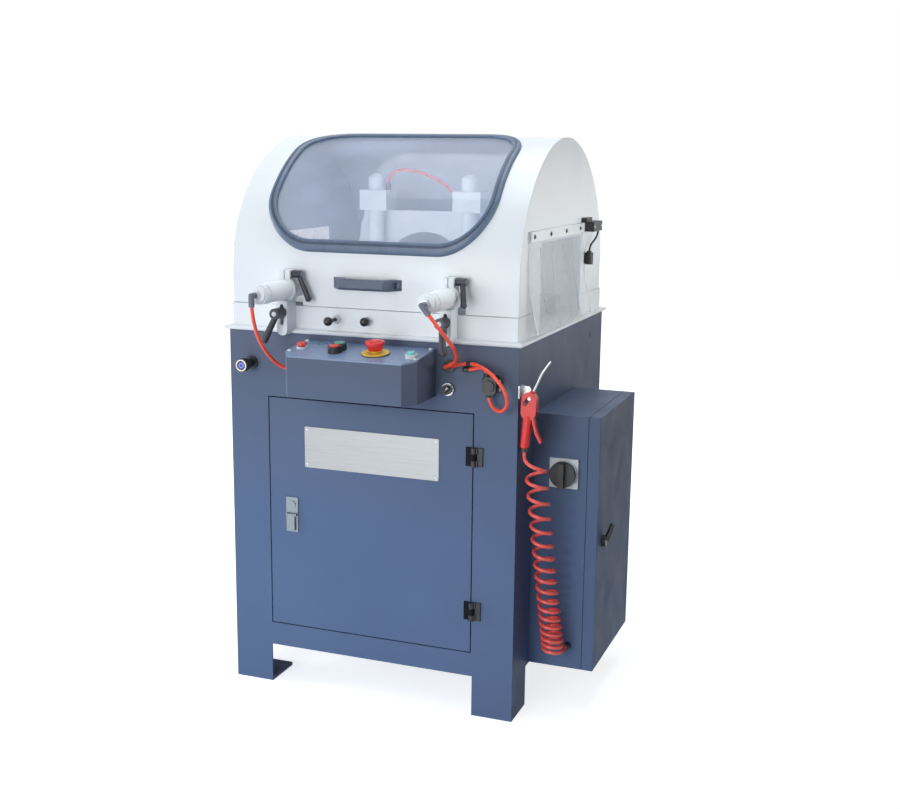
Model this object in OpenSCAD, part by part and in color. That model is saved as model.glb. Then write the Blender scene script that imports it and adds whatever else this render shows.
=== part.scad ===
// Enclosed cold saw: cabinet, tray, swinging hood, rising blade and pneumatic clamps.
// X runs right along the front, Y runs back, Z is up. Sizes are read from the left front
// bottom corner of the cabinet, then at_frame() centres the whole machine on its box.

/* [Cabinet] */
// width of the cabinet
cab_w = 700; // [500:5:900]
// depth of the cabinet
cab_d = 720; // [500:5:900]
// height of the cabinet
cab_h = 850; // [700:5:950]
// sheet thickness of the cabinet
sheet = 3; // [2:0.5:5]
// width of a leg seen from the front
leg_w = 96; // [60:1:130]
// width of a leg seen from the side
leg_d = 100; // [60:1:130]
// height of the gap under the cabinet
leg_h = 94; // [50:1:150]
// thickness of the foot plates
foot_t = 8; // [5:1:15]
// radius of the anchor holes
anchor_r = 7; // [5:0.5:9]

/* [Cabinet door] */
// left edge of the door opening
door_x = 97; // [60:1:140]
// distance of the opening from the cabinet's right side
door_right = 99; // [60:1:140]
// sill of the door opening
door_z = 149; // [110:1:200]
// distance of the opening from the cabinet's top
door_top = 150; // [130:1:250]
// gap round the door
door_gap = 2.5; // [1:0.1:4]
// depth of the door's folded edge
door_fold = 20; // [12:1:30]
// height of a hinge
hinge_h = 42; // [30:1:60]
// radius of the hinge knuckles
knuckle_r = 6; // [5:0.5:8]
// width of the latch plate
latch_w = 30; // [24:1:40]
// height of the latch plate
latch_h = 83; // [60:1:110]

/* [Tray] */
// overhang of the lip
lip = 9; // [4:0.5:15]
// thickness of the tray floor and lip
floor_t = 10; // [6:1:16]
// height of the rim over the floor
rim_h = 51; // [30:1:80]
// thickness of the rim
rim_t = 5; // [3:0.5:10]
// distance of the rim from the cabinet faces
rim_in = 6; // [4:0.5:12]

/* [Hood] */
// how much shallower than the cabinet the hood is
hood_short = 28; // [24:1:60]
// distance of the shoulder centres from the hood's middle
arch_c = 58; // [40:1:90]
// height of the crown over the tops of the shoulder arcs
crown_up = 28; // [12:1:50]
// height of the straight skirt
skirt_h = 63; // [50:1:90]
// gap between rim and skirt
hood_gap = 1; // [0.5:0.1:3]
// sheet thickness of the hood
hood_t = 2.5; // [2:0.1:4]
// width of the window
win_w = 554; // [400:1:580]
// length of the window along its tilt, as a share of the hood's depth
win_part = 0.587; // [0.45:0.001:0.62]
// corner radius of the window
win_r = 125; // [60:1:150]
// tilt of the window
win_tilt = 39; // [25:1:50]
// width of the gasket
gasket_w = 21; // [15:0.5:30]
// height of the gasket over the sheet
gasket_up = 8; // [4:0.5:12]
// thickness of the window
glass_t = 4; // [3:0.5:6]
// reach of the end openings to the front of the hood's middle
end_front = 191; // [150:1:210]
// length of the end openings
end_l = 340; // [250:1:360]
// top of the end openings over the tray floor
end_h = 200; // [150:1:215]
// thickness of the curtains
curtain_t = 3; // [2:0.5:4]
// radius of the curtains' outward curl
curl_r = 800; // [600:10:1200]

/* [Clamps] */
// distance between the two front clamps
clamp_pitch = 390; // [340:1:430]
// height of the clamp axis over the rim
clamp_up = 39; // [34:0.5:44]
// radius of the clamp cylinders
cyl_r = 22; // [18:0.5:24]
// reach of the clamp cylinders in front of the cabinet
cyl_out = 148; // [120:1:170]
// radius of the piston rods
rod_r = 8; // [6:0.5:10]
// stroke of the front clamps
stroke = 120; // [60:5:130]
// distance between the two top clamps
top_pitch = 240; // [200:1:300]

/* [Controls] */
// left edge of the control box, as a share of the cabinet's width
box_from = 0.2843; // [0.25:0.001:0.32]
// right edge of the control box, as a share of the cabinet's width
box_to = 0.7286; // [0.68:0.001:0.735]
// depth of the control box
box_d = 139; // [110:1:160]
// distance of the control box's bottom from the cabinet's top
box_down = 119; // [115:1:125]
// height of the control box at its front
box_h = 91; // [80:1:100]
// rise of the panel from front to back
panel_rise = 16; // [8:1:30]
// thickness of the panel
lid_t = 4; // [3:0.5:6]

/* [Electrical box] */
// front of the electrical box
ebox_y = 122; // [115:1:160]
// depth of the electrical box along the cabinet
ebox_l = 338; // [250:1:400]
// how far the box stands out of the cabinet
ebox_w = 125; // [90:1:160]
// thickness of its door
ebox_door_t = 26; // [16:1:40]
// bottom of the electrical box
ebox_z = 97; // [60:1:140]
// height of the electrical box
ebox_h = 590; // [450:1:640]

/* [Saw] */
// radius of the blade
blade_r = 200; // [160:1:205]
// thickness of the blade
blade_t = 3.2; // [2:0.1:4]
// number of teeth
teeth = 60; // [36:2:80]
// width of the table slot
slot_w = 8; // [6:0.5:12]

/* [Hoses] */
// radius of the hoses
hose_r = 4; // [3:0.5:5]
// radius of the coil, to the middle of the hose
coil_r = 22; // [18:0.5:24]
// turns of the coil
coil_turns = 17.8; // [12:0.1:20]

/* [Hidden] */
$fn = 96;

// clearance of a turning or sliding fit, on the radius
run = 0.05;
// small overlap for joining and cutting
eps = 0.5;

// door opening and control box
door_w = cab_w - door_x - door_right;
door_h = cab_h - door_z - door_top;
box_x = box_from * cab_w;
box_w = (box_to - box_from) * cab_w;
box_z = cab_h - box_down;

// heights that the pieces share
floor_z = cab_h + floor_t;
rim_z = floor_z + rim_h;
skirt_z = rim_z + hood_gap;
spring_z = skirt_z + skirt_h;
clamp_z = rim_z + clamp_up;
end_z = floor_z + end_h;

// hood: the arch has two shoulder arcs and a crown arc that meets them smoothly
hood_half = (cab_d - hood_short) / 2;
hood_y = rim_in + 4 + hood_half;
shoulder_r = hood_half - arch_c;
hood_rise = shoulder_r + crown_up;
crown_r = (arch_c * arch_c + hood_rise * hood_rise - shoulder_r * shoulder_r)
    / (2 * (hood_rise - shoulder_r));
crown_z = spring_z + hood_rise - crown_r;
crown_half = (crown_r + 20) * arch_c / norm([arch_c, spring_z - crown_z]);
win_back = 25;
end_y = hood_y - end_front;
hood_pin_y = cab_d + 2;
hood_pin_z = rim_z - 3;
hood_pin_r = 3;
hood_lug_r = 7;
hood_lug_x = [120, cab_w - 120];

// curtains: how far the lower edge stands out, from the curl
curtain_top = end_z + 30;
curtain_bend = end_z + 15;
curtain_low = floor_z + 10;
curtain_out = curl_r - sqrt(curl_r * curl_r - pow(curtain_bend - curtain_low, 2));
curtain_lap = 0.3 * hood_half;
curtain_y = end_y - curtain_lap;
curtain_l = end_l + curtain_lap + 5;
lock_y = curtain_y + curtain_l;

// front clamps
clamp_x = [cab_w / 2 - clamp_pitch / 2, cab_w / 2 + clamp_pitch / 2];
post_half = 13;
notch_r = cyl_r + 7.5;
post_front = -36;
collar_front = -22;
cyl_back = 50;
stud_r = 4;
upper_z = clamp_z + 34;
upper_y = -8;
lower_z = clamp_z - 50;
elbow_y = -cyl_out - 22;
elbow_drop = 20;
fit_r = 6.5;
elbow_turn = [0, 40];

// clamp bridge and top clamps
blade_x = cab_w / 2;
bridge_y = hood_y - 21;
bridge_t = 20;
bridge_half = 200;
table_z = floor_z + 45;
bridge_z = table_z + 210;
bridge_arch = 113;
bridge_arch_z = table_z + 46;
table_half = cab_w / 2 - rim_in - rim_t - 59;
table_y = [hood_y - 226, hood_y + 204];
top_x = [cab_w / 2 - top_pitch / 2, cab_w / 2 + top_pitch / 2];
top_y = bridge_y - 21;
top_r = 19;
top_port = [top_x[0] + 22, bridge_y];
bridge_port = [blade_x + 70, bridge_z - 15];

// control panel: top face, its slope and the places of the buttons on it
box_cut = 22;
box_cut_d = 34;
panel_ang = atan(panel_rise / box_d);
box_front_z = box_z + box_h;
box_plan = [[box_x, 0], [box_x, box_cut_d - box_d], [box_x + box_cut, -box_d],
    [box_x + box_w - box_cut, -box_d], [box_x + box_w, box_cut_d - box_d], [box_x + box_w, 0]];
box_wall = 3;
pilot_at = [box_x + 0.08 * box_w, -0.53 * box_d];
twin_at = [box_x + 0.36 * box_w, -0.55 * box_d];
estop_at = [box_x + 0.656 * box_w, -0.575 * box_d];
start_at = [box_x + 0.936 * box_w, -0.647 * box_d];
pilot_r = 8;
start_r = 9;
twin_r = 11.5;
twin_gap = 13;
twin_h = 14;
estop_stem_r = 8;

// knobs on the front
selector_at = [0.773 * cab_w, cab_h - 100];
selector_r = 8;
feed_at = [0.08 * cab_w, cab_h - 75];
feed_shaft_r = 5;
pull_x = [cab_w / 2 - 81, cab_w / 2 - 5];
pull_z = floor_z + 26;
pull_r = 4;
pull_ball_r = 10;
pull_out = [-36, -10.5];
pull_rod = table_y[0] - 34;
grommet_at = [0.7757 * cab_w, cab_h - 50];
inlet_at = [0.833 * cab_w, cab_h - 52];
reg_at = [0.92 * cab_w, cab_h - 81.5];
reg_half = [15, 19.5];
reg_cut = 7;
reg_port = [reg_at[0] - 10, reg_at[0] - 4];
reg_reach = 26;

// hinge lines of the doors
door_pin_x = door_x + door_w + 2;
door_pin_y = -knuckle_r - 1;
pin_r = 2;
hinge_z = [door_z + 80, door_z + door_h - 117];
latch_at = [door_x + 44, door_z + 0.423 * door_h];
paddle_z = latch_at[1] + 42;
paddle_y = -6;
ebox_right = cab_w + ebox_w;
ebox_face = ebox_right + 1 + ebox_door_t;
ebox_pin = [ebox_right + 1, ebox_y + ebox_l + 6];
ebox_pin_r = 5;
ebox_knuckles = [ebox_z + 70, ebox_z + ebox_h - 110];
wing_at = [ebox_y + 56, ebox_z + ebox_h / 2];
wing_out = 25;
wing_tip_r = 6;
iso_at = [cab_w + 0.584 * ebox_w, ebox_z + ebox_h - 131];
iso_shaft_r = 5;

// saw: pivot, spindle and motor in the side plane (Y, Z)
spindle_at = [hood_y - 56, cab_h - 160];
pivot_at = [spindle_at[0] + blade_r + 60, cab_h - 170];
motor_at = [pivot_at[0] - 130, cab_h - 260];
pivot_r = 18;
spindle_r = 15;
arm_x = [blade_x + 12, blade_x + 58];
cheek_x = [blade_x - 50, blade_x + 105];
cheek_t = 15;

// air gun, in the plane gun_y beside the cabinet
gun_y = 10;
gun_half = 9;
gun_z = cab_h - 150;
gun_low = [cab_w + 13, gun_z - 66];
trigger_at = [cab_w + 31, gun_z + 4];
gun_hole = [cab_w + 14, gun_z + 30];
gun_pin = gun_hole + [8, 11];
gun_pin_r = 4;
hose_port_z = gun_low[1] - 10;

// hose routes: straight out of one fitting, straight into the other, bowed in between
function lay(a, lead, b, tail, bows) = concat([a, a + lead], [for (i = [0 : len(bows) - 1])
    a + lead + (b + tail - a - lead) * (i + 1) / (len(bows) + 1) + bows[i]], [b + tail, b]);
right_lead = [sin(elbow_turn[1]), 0, -cos(elbow_turn[1])];
left_route = lay([clamp_x[0], elbow_y, clamp_z - elbow_drop], [0, 0, -16],
    [box_x - 13, -50, cab_h - 75], [-9, 0, 0],
    [[-5, -7, -2], [-11, -6, -8], [-15, -3, -12], [-16, 3, -17], [-12, 12, -21], [-6, 13, -17]]);
right_route = lay([clamp_x[1], elbow_y, clamp_z] + elbow_drop * right_lead, 12 * right_lead,
    [grommet_at[0] - 7, -6, grommet_at[1]], [0, -18, 0],
    [[17, -1, -10], [26, 10, -18], [33, 22, -24], [33, 29, -28], [22, 24, -24], [8, 11, -14]]);
loop_route = lay([grommet_at[0] + 7, -6, grommet_at[1]], [0, -6, 0],
    [reg_port[1], -20, reg_at[1] - reg_reach], [0, 0, -9],
    [[2, -4, 8], [17, -4, 21], [28, -7, 26], [38, -14, 28], [51, -25, 26], [63, -29, 20],
    [72, -28, 10], [80, -26, -5], [79, -25, -18], [67, -20, -28], [47, -15, -32], [27, -8, -26],
    [10, -2, -13]]);
feed_route = lay([inlet_at[0] + 9, -14, inlet_at[1]], [8, 0, 0],
    [reg_port[0], -20, reg_at[1] + reg_reach], [0, 0, 6], [[3, 0, 5], [4, -1, 4]]);
bridge_route = lay([top_port[0], top_port[1], bridge_z + 65], [0, 0, 12],
    [bridge_port[0], bridge_y + bridge_t + 14, bridge_port[1]], [0, 14, 0],
    [[-10, -2, 25], [-8, 0, 40], [3, 9, 45], [16, 24, 44], [27, 36, 39], [30, 45, 29], [27, 40, 15],
    [18, 20, 0]]);
cable_route = lay([cab_w + 10, lock_y + 90, end_z + 19], [0, 8, 0],
    [cab_w + 5, lock_y + 35, end_z - 42], [0, 0, 6],
    [[2, 16, -2], [1, 17, -11], [-2, 6, -14], [-2, -6, -8], [-1, -8, -3]]);
cable_r = 2.5;

// coil: eased start so that the hose leaves the gun straight down
coil_ease = 0.35;
coil_dip = 4;
coil_even = 0.45;
coil_from = -360 * (coil_turns - coil_ease);
coil_top = [gun_low[0] - coil_r * cos(coil_from), gun_y - coil_r * sin(coil_from), hose_port_z - 8];
coil_low = [cab_w + 70, ebox_y - 42, ebox_z + 55];
coil_end = [coil_low[0] + coil_r, ebox_y - 14, coil_low[2]];

// outer box of the machine without the hoses, and its middle
box_left = rim_in - curtain_t - curtain_out;
box_right = ebox_face + wing_out;
box_front = elbow_y - fit_r;
box_back = cab_d + lip;
mid_x = (box_left + box_right) / 2;
mid_y = (box_front + box_back) / 2;

module at_frame() {
    translate([-mid_x, -mid_y, 0]) children();
}

// box between two corners
module block(a, b) {
    translate(a) cube(b - a);
}

// outline in (Y, Z), drawn out along X
module along_x(x0, x1) {
    translate([x0, 0, 0]) rotate([90, 0, 90]) linear_extrude(x1 - x0) children();
}

// outline in (X, Z), drawn out along Y
module along_y(y0, y1) {
    translate([0, y1, 0]) rotate([90, 0, 0]) linear_extrude(y1 - y0) children();
}

module rod_x(x0, x1, at, r) {
    translate([x0, at[0], at[1]]) rotate([0, 90, 0]) cylinder(r = r, h = x1 - x0);
}

module rod_y(y0, y1, at, r) {
    translate([at[0], y0, at[1]]) rotate([-90, 0, 0]) cylinder(r = r, h = y1 - y0);
}

module rod_z(z0, z1, at, r) {
    translate([at[0], at[1], z0]) cylinder(r = r, h = z1 - z0);
}

// tapered bar between two points
module bar(a, b, r0, r1) {
    d = b - a;
    translate(a) rotate([0, acos(d[2] / norm(d)), atan2(d[1], d[0])])
        cylinder(r1 = r0, r2 = r1, h = norm(d));
}

// places children on the sloping control panel
function panel_z(y) = box_front_z + (y + box_d) * panel_rise / box_d;
module on_panel(at) {
    translate([at[0], at[1], panel_z(at[1])]) rotate([panel_ang, 0, 0]) children();
}

// hood section in (Y, Z), moved inward by inset
module arch(inset) {
    translate([hood_y, 0]) {
        intersection() {
            union() {
                for (side = [-1, 1])
                    translate([side * arch_c, spring_z]) circle(shoulder_r - inset);
                intersection() {
                    translate([0, crown_z]) circle(crown_r - inset);
                    translate([0, crown_z]) polygon([[0, 0], [crown_half, (spring_z - crown_z)
                        * crown_half / arch_c], [crown_half, crown_r + 40],
                        [-crown_half, crown_r + 40], [-crown_half, (spring_z - crown_z)
                        * crown_half / arch_c]]);
                }
            }
            translate([-hood_half - 20, spring_z]) square([2 * hood_half + 40, hood_rise + 40]);
        }
        translate([inset - hood_half, skirt_z])
            square([2 * (hood_half - inset), skirt_h + eps]);
    }
}

// sheet of the hood between two depths under its outer face
module hood_skin(outer, inner) {
    difference() {
        along_x(rim_in + max(outer, 0), cab_w - rim_in - max(outer, 0)) arch(outer);
        along_x(rim_in - eps, cab_w - rim_in + eps) arch(inner);
    }
}

// rounded window outline, moved inward by inset, as a prism square to the tilted window
module window_prism(inset) {
    w = win_w / 2 - inset;
    l = win_part * hood_half - inset;
    r = win_r - inset;
    translate([cab_w / 2, hood_y, spring_z]) rotate([win_tilt, 0, 0]) translate([0, -win_back, 150])
        linear_extrude(300) {
            square([2 * (w - r), 2 * l], center = true);
            square([2 * w, 2 * (l - r)], center = true);
            for (sx = [-1, 1], sy = [-1, 1])
                translate([sx * (w - r), sy * (l - r)]) circle(r);
        }
}

// smooth run through the inner points, the outer two being the straight ends
function blend(p, i, t) = 0.5 * (2 * p[i] + t * (p[i + 1] - p[i - 1])
    + t * t * (2 * p[i - 1] - 5 * p[i] + 4 * p[i + 1] - p[i + 2])
    + t * t * t * (3 * p[i] - p[i - 1] - 3 * p[i + 1] + p[i + 2]));
function smooth(p, steps) = concat([p[0]],
    [for (i = [1 : len(p) - 3], k = [0 : steps - 1]) blend(p, i, k / steps)],
    [p[len(p) - 2], p[len(p) - 1]]);
function unit(v) = v / norm(v);
function along(p, i) = unit(p[min(i + 1, len(p) - 1)] - p[max(i - 1, 0)]);
function sides(p, i, last, out) = i == len(p) ? out
    : let (t = along(p, i), n = unit(last - (last * t) * t)) sides(p, i + 1, n, concat(out, [n]));

// round tube along a path: one ring of points per path point, closed at both ends
module tube(p, r, m) {
    n = sides(p, 0, unit(cross(along(p, 0), [0.3, 0.5, 0.8])), []);
    rings = len(p);
    points = [for (i = [0 : rings - 1], k = [0 : m - 1])
        p[i] + r * (cos(360 * k / m) * n[i] + sin(360 * k / m) * cross(along(p, i), n[i]))];
    walls = [for (i = [0 : rings - 2], k = [0 : m - 1], h = [0, 1]) h == 0
        ? [i * m + k, i * m + (k + 1) % m, (i + 1) * m + k]
        : [i * m + (k + 1) % m, (i + 1) * m + (k + 1) % m, (i + 1) * m + k]];
    caps = [for (k = [1 : m - 2], h = [0, 1]) h == 0
        ? [0, k + 1, k] : [(rings - 1) * m, (rings - 1) * m + k, (rings - 1) * m + k + 1]];
    polyhedron(points, concat([for (f = walls) [f[0], f[2], f[1]]],
        [for (f = caps) [f[0], f[2], f[1]]]));
}

// point of the coil after t turns
function coil_drop(t) = coil_even * t / coil_turns + (1 - coil_even) * (1 - pow(1 - t / coil_turns, 2));
function coil_lead(t) = 1 - exp(-t / coil_ease);
function coil_angle(t) = coil_from + 360 * (t - coil_ease * coil_lead(t));
function coil_point(t) = coil_top + coil_drop(t) * (coil_low + [0, 0, coil_dip] - coil_top)
    + [coil_r * cos(coil_angle(t)), coil_r * sin(coil_angle(t)), -coil_dip * coil_lead(t)];
coil_steps = round(8 * coil_turns);
coil_path = concat([[gun_low[0], gun_y, hose_port_z]],
    [for (k = [0 : coil_steps]) coil_point(k * coil_turns / coil_steps)],
    [coil_low + [coil_r, 10, 0], coil_end]);
coil_gap = min([for (i = [0 : len(coil_path) - 7], j = [i + 6 : min(i + 10, len(coil_path) - 1)])
    norm(coil_path[i] - coil_path[j])]) - 2 * hose_r;

// legs, walls, floor and the frame of the door opening
module cabinet_shell() color("slategray") at_frame() {
    difference() {
        block([0, 0, 0], [cab_w, cab_d, cab_h]);
        block([sheet, sheet, leg_h + sheet], [cab_w - sheet, cab_d - sheet, cab_h + eps]);
        block([sheet, sheet, -eps], [cab_w - sheet, cab_d - sheet, leg_h]);
        block([leg_w, -eps, -eps], [cab_w - leg_w, cab_d + eps, leg_h]);
        block([-eps, leg_d, -eps], [cab_w + eps, cab_d - leg_d, leg_h]);
        block([door_x, -eps, door_z], [door_x + door_w, sheet + eps, door_z + door_h]);
        block([cab_w - sheet - eps, cab_d - 123, cab_h - 56], [cab_w + eps, cab_d - 117, cab_h - 40]);
    }
    difference() {
        block([door_x - sheet, sheet - eps, door_z - sheet],
            [door_x + door_w + sheet, door_fold + 2 * sheet + 2, door_z + door_h + sheet]);
        block([door_x, 0, door_z], [door_x + door_w, door_fold + sheet + 2, door_z + door_h]);
        block([door_x + 12, 0, door_z + 12], [door_x + door_w - 12, 60, door_z + door_h - 12]);
    }
    difference() {
        block([eps, eps, cab_h - sheet], [cab_w - eps, cab_d - eps, cab_h]);
        block([24, 24, 0], [cab_w - 24, cab_d - 24, cab_h + eps]);
    }
    for (x = [eps, cab_w - leg_w], y = [eps, cab_d - leg_d])
        difference() {
            block([x, y, 0], [x + leg_w - eps, y + leg_d - eps, foot_t]);
            rod_z(-eps, foot_t + eps, [x < leg_w ? leg_w / 2 : cab_w - leg_w / 2,
                y < leg_d ? leg_d / 2 : cab_d - leg_d / 2], anchor_r);
        }
}

// section of the floor slab between two edges, its ends rounded off in four bevels
module lip_section(from, to) {
    r = floor_t / 2;
    polygon(concat([for (a = [-90 : 45 : 90]) [to - r + r * cos(a), cab_h + r + r * sin(a)]],
        [for (a = [90 : -45 : -90]) [from + r - r * cos(a), cab_h + r + r * sin(a)]]));
}

// floor slab with a rounded lip on all four sides
module tray_lip() {
    intersection() {
        along_x(-lip, cab_w + lip) lip_section(-lip, cab_d + lip);
        along_y(-lip, cab_d + lip) lip_section(-lip, cab_w + lip);
    }
}

// lip, floor and rim in one casting, with the saw cheeks, rod bosses and hood lugs
module base_tray() color("gainsboro") at_frame() {
    difference() {
        union() {
            tray_lip();
            difference() {
                block([rim_in, rim_in, floor_z - eps], [cab_w - rim_in, cab_d - rim_in, rim_z]);
                block([rim_in + rim_t, rim_in + rim_t, floor_z],
                    [cab_w - rim_in - rim_t, cab_d - rim_in - rim_t, rim_z + eps]);
                block([0, end_y, floor_z], [cab_w, end_y + end_l, rim_z + eps]);
            }
            for (x = pull_x)
                rod_y(0, rim_in + 34, [x, pull_z], pull_ball_r);
            for (x = cheek_x)
                along_x(x, x + cheek_t) {
                    translate(pivot_at) circle(32);
                    translate([pivot_at[0] - 32, pivot_at[1]]) square([64, cab_h + eps - pivot_at[1]]);
                }
            for (x = hood_lug_x, s = [-20, 8])
                along_x(x + s, x + s + 12) {
                    translate([hood_pin_y, hood_pin_z]) circle(hood_lug_r);
                    translate([cab_d - rim_in - eps, floor_z - eps])
                        square([hood_pin_y + hood_lug_r - cab_d + rim_in + eps, hood_pin_z - floor_z]);
                }
            for (x = hood_lug_x)
                rod_x(x - 20, x + 20, [hood_pin_y, hood_pin_z], hood_pin_r);
        }
        block([blade_x - 30, table_y[0] - 20, cab_h - eps], [blade_x + 30, table_y[1] - 15, floor_z + eps]);
        for (x = pull_x)
            rod_y(-eps, rim_in + 40, [x, pull_z], pull_r + run);
        for (x = cheek_x)
            rod_x(x - eps, x + cheek_t + eps, pivot_at, pivot_r + run);
    }
}

module work_table() color("silver") at_frame() {
    for (side = [0, 1]) translate([blade_x, 0, 0]) mirror([side, 0, 0]) {
        block([slot_w / 2, table_y[0], table_z - 25], [table_half, table_y[1], table_z]);
        for (x = [34, table_half - 36])
            block([x, table_y[0] + 10, floor_z], [x + 26, table_y[1] - 10, table_z - 25 + eps]);
    }
}

// arched cross wall that carries the top clamps
module clamp_bridge() color("white") at_frame() {
    along_y(bridge_y, bridge_y + bridge_t) difference() {
        translate([blade_x, 0]) polygon([[-bridge_half, table_z], [bridge_half, table_z],
            [bridge_half, table_z + 30], [bridge_half - 40, bridge_z], [40 - bridge_half, bridge_z],
            [-bridge_half, table_z + 30]]);
        translate([blade_x, bridge_arch_z]) circle(bridge_arch);
        translate([blade_x - bridge_arch, table_z - eps])
            square([2 * bridge_arch, bridge_arch_z - table_z + eps]);
    }
    for (x = [[blade_x - bridge_half, blade_x - bridge_arch],
        [blade_x + bridge_arch, blade_x + bridge_half]]) {
        block([x[0], bridge_y - 45, table_z], [x[1], bridge_y + eps, table_z + 16]);
        block([x[0], bridge_y + bridge_t - eps, table_z], [x[1], bridge_y + bridge_t + 60, table_z + 16]);
        for (s = [x[0] + 20, x[1] - 32])
            along_x(s, s + 12) polygon([[bridge_y + bridge_t - eps, table_z + 15],
                [bridge_y + bridge_t + 55, table_z + 15], [bridge_y + bridge_t - eps, bridge_z - 30]]);
    }
}

// split collars that hold the front cylinders
module clamp_posts() color("dimgray") at_frame() {
    for (x = clamp_x) translate([x, 0, 0]) difference() {
        union() {
            along_y(post_front, -lip) {
                translate([0, cab_h + post_half - 2]) circle(post_half);
                translate([-post_half, cab_h + post_half - 2])
                    square([2 * post_half, clamp_z - cyl_r - cab_h - post_half]);
            }
            block([-post_half, -lip - eps, floor_z], [post_half, rim_in, clamp_z - cyl_r]);
            rod_y(collar_front, rim_in, [0, clamp_z], cyl_r + 5);
            block([-post_half, collar_front, clamp_z + 10], [post_half, rim_in, upper_z + 9]);
        }
        rod_y(post_front - eps, rim_in + eps, [0, clamp_z], cyl_r + 0.1);
        block([-1, collar_front - eps, clamp_z], [1, rim_in + eps, upper_z + 10]);
        rod_x(-post_half - eps, post_half + eps, [upper_y, upper_z], stud_r + run);
        along_y(post_front - eps, -lip) {
            for (z = [lower_z - 24, lower_z + 14])
                translate([0, z]) circle(stud_r + 0.1);
            translate([-stud_r - 0.1, lower_z - 24]) square([2 * stud_r + 0.2, 38]);
        }
    }
}

module air_cylinders() color("silver") at_frame() {
    for (x = clamp_x) difference() {
        union() {
            rod_y(8 - cyl_out, cyl_back, [x, clamp_z], cyl_r);
            rod_y(-cyl_out, 9 - cyl_out, [x, clamp_z], cyl_r - 3);
        }
        difference() {
            rod_y(24 - cyl_out, 27 - cyl_out, [x, clamp_z], cyl_r + 2);
            rod_y(23 - cyl_out, 28 - cyl_out, [x, clamp_z], cyl_r - 1.5);
        }
        rod_y(cyl_back - stroke - 36, cyl_back + eps, [x, clamp_z], rod_r + run);
    }
    for (x = top_x) difference() {
        union() {
            block([x - 35, top_y - 22, bridge_z], [x + 35, bridge_y + bridge_t, bridge_z + 48]);
            rod_z(bridge_z - 75, bridge_z + 80, [x, top_y], top_r);
            intersection() {
                translate([x, top_y, bridge_z + 68]) sphere(20);
                rod_z(bridge_z + 79, bridge_z + 89, [x, top_y], top_r);
            }
        }
        rod_z(bridge_z - 76, bridge_z + 40, [x, top_y], rod_r + run);
    }
}

// elbows, ports, grommet and bulkheads that the hoses end on
module air_fittings() color("dimgray") at_frame() {
    for (i = [0, 1]) {
        rod_y(elbow_y, -cyl_out, [clamp_x[i], clamp_z], fit_r);
        translate([clamp_x[i], elbow_y, clamp_z]) {
            sphere(fit_r);
            rotate([0, 180 - elbow_turn[i], 0]) cylinder(r = fit_r, h = elbow_drop);
        }
    }
    rod_x(box_x - 13, box_x, [-50, cab_h - 75], 7);
    rod_y(-6, 0, grommet_at, 14);
    rod_y(-14, 0, inlet_at, 6);
    translate([inlet_at[0], -14, inlet_at[1]]) sphere(6);
    rod_x(inlet_at[0], inlet_at[0] + 9, [-14, inlet_at[1]], 6);
    rod_y(coil_end[1], ebox_y, [coil_end[0], coil_end[2]], 8);
    rod_z(bridge_z + 48, bridge_z + 65, top_port, 7);
    rod_y(bridge_y + bridge_t, bridge_y + bridge_t + 14, bridge_port, 7);
}

module control_box() color("slategray") at_frame() {
    difference() {
        intersection() {
            translate([0, 0, box_z]) linear_extrude(box_h + panel_rise) polygon(box_plan);
            along_x(box_x - 1, box_x + box_w + 1) polygon([[-box_d - 1, box_z - 1], [1, box_z - 1],
                [1, panel_z(1) - lid_t], [-box_d - 1, panel_z(-box_d - 1) - lid_t]]);
        }
        translate([0, 0, box_z + box_wall]) linear_extrude(200) polygon([[box_x + box_wall, -box_wall],
            [box_x + box_wall, box_cut_d - box_d + 1], [box_x + box_cut + 2, box_wall - box_d],
            [box_x + box_w - box_cut - 2, box_wall - box_d],
            [box_x + box_w - box_wall, box_cut_d - box_d + 1], [box_x + box_w - box_wall, -box_wall]]);
    }
}

// sloping panel with the button bezels
module control_lid() color("lightgray") at_frame() {
    difference() {
        union() {
            intersection() {
                translate([0, 0, box_z]) linear_extrude(box_h + panel_rise) polygon(box_plan);
                along_x(box_x - 1, box_x + box_w + 1) polygon([[-box_d - 1, panel_z(-box_d - 1) - lid_t],
                    [1, panel_z(1) - lid_t], [1, panel_z(1)], [-box_d - 1, panel_z(-box_d - 1)]]);
            }
            on_panel(pilot_at) translate([0, 0, -1]) cylinder(r = pilot_r + 4, h = 5);
            on_panel(start_at) translate([0, 0, -1]) cylinder(r = start_r + 4, h = 9);
        }
        on_panel(pilot_at) translate([0, 0, -20]) cylinder(r = pilot_r + run, h = 40);
        on_panel(start_at) translate([0, 0, -20]) cylinder(r = start_r + run, h = 40);
        on_panel(estop_at) translate([0, 0, -20]) cylinder(r = estop_stem_r + run, h = 40);
    }
}

module estop_collar() color("gold") at_frame() {
    on_panel(estop_at) difference() {
        union() {
            cylinder(r = 30, h = 4);
            cylinder(r = 10, h = 8.5);
        }
        translate([0, 0, -1]) cylinder(r = estop_stem_r + run, h = 20);
    }
}

module estop_button() color("red") at_frame() {
    on_panel(estop_at) {
        translate([0, 0, -12]) cylinder(r = estop_stem_r, h = 34);
        difference() {
            translate([0, 0, 9]) cylinder(r1 = 15.5, r2 = 20, h = 14);
            translate([0, 0, 8]) difference() {
                cylinder(r = 11, h = 6);
                cylinder(r = estop_stem_r, h = 7);
            }
        }
        intersection() {
            translate([0, 0, 22]) cylinder(r = 21, h = 12);
            translate([0, 0, -39]) sphere(70);
        }
    }
}

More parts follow.
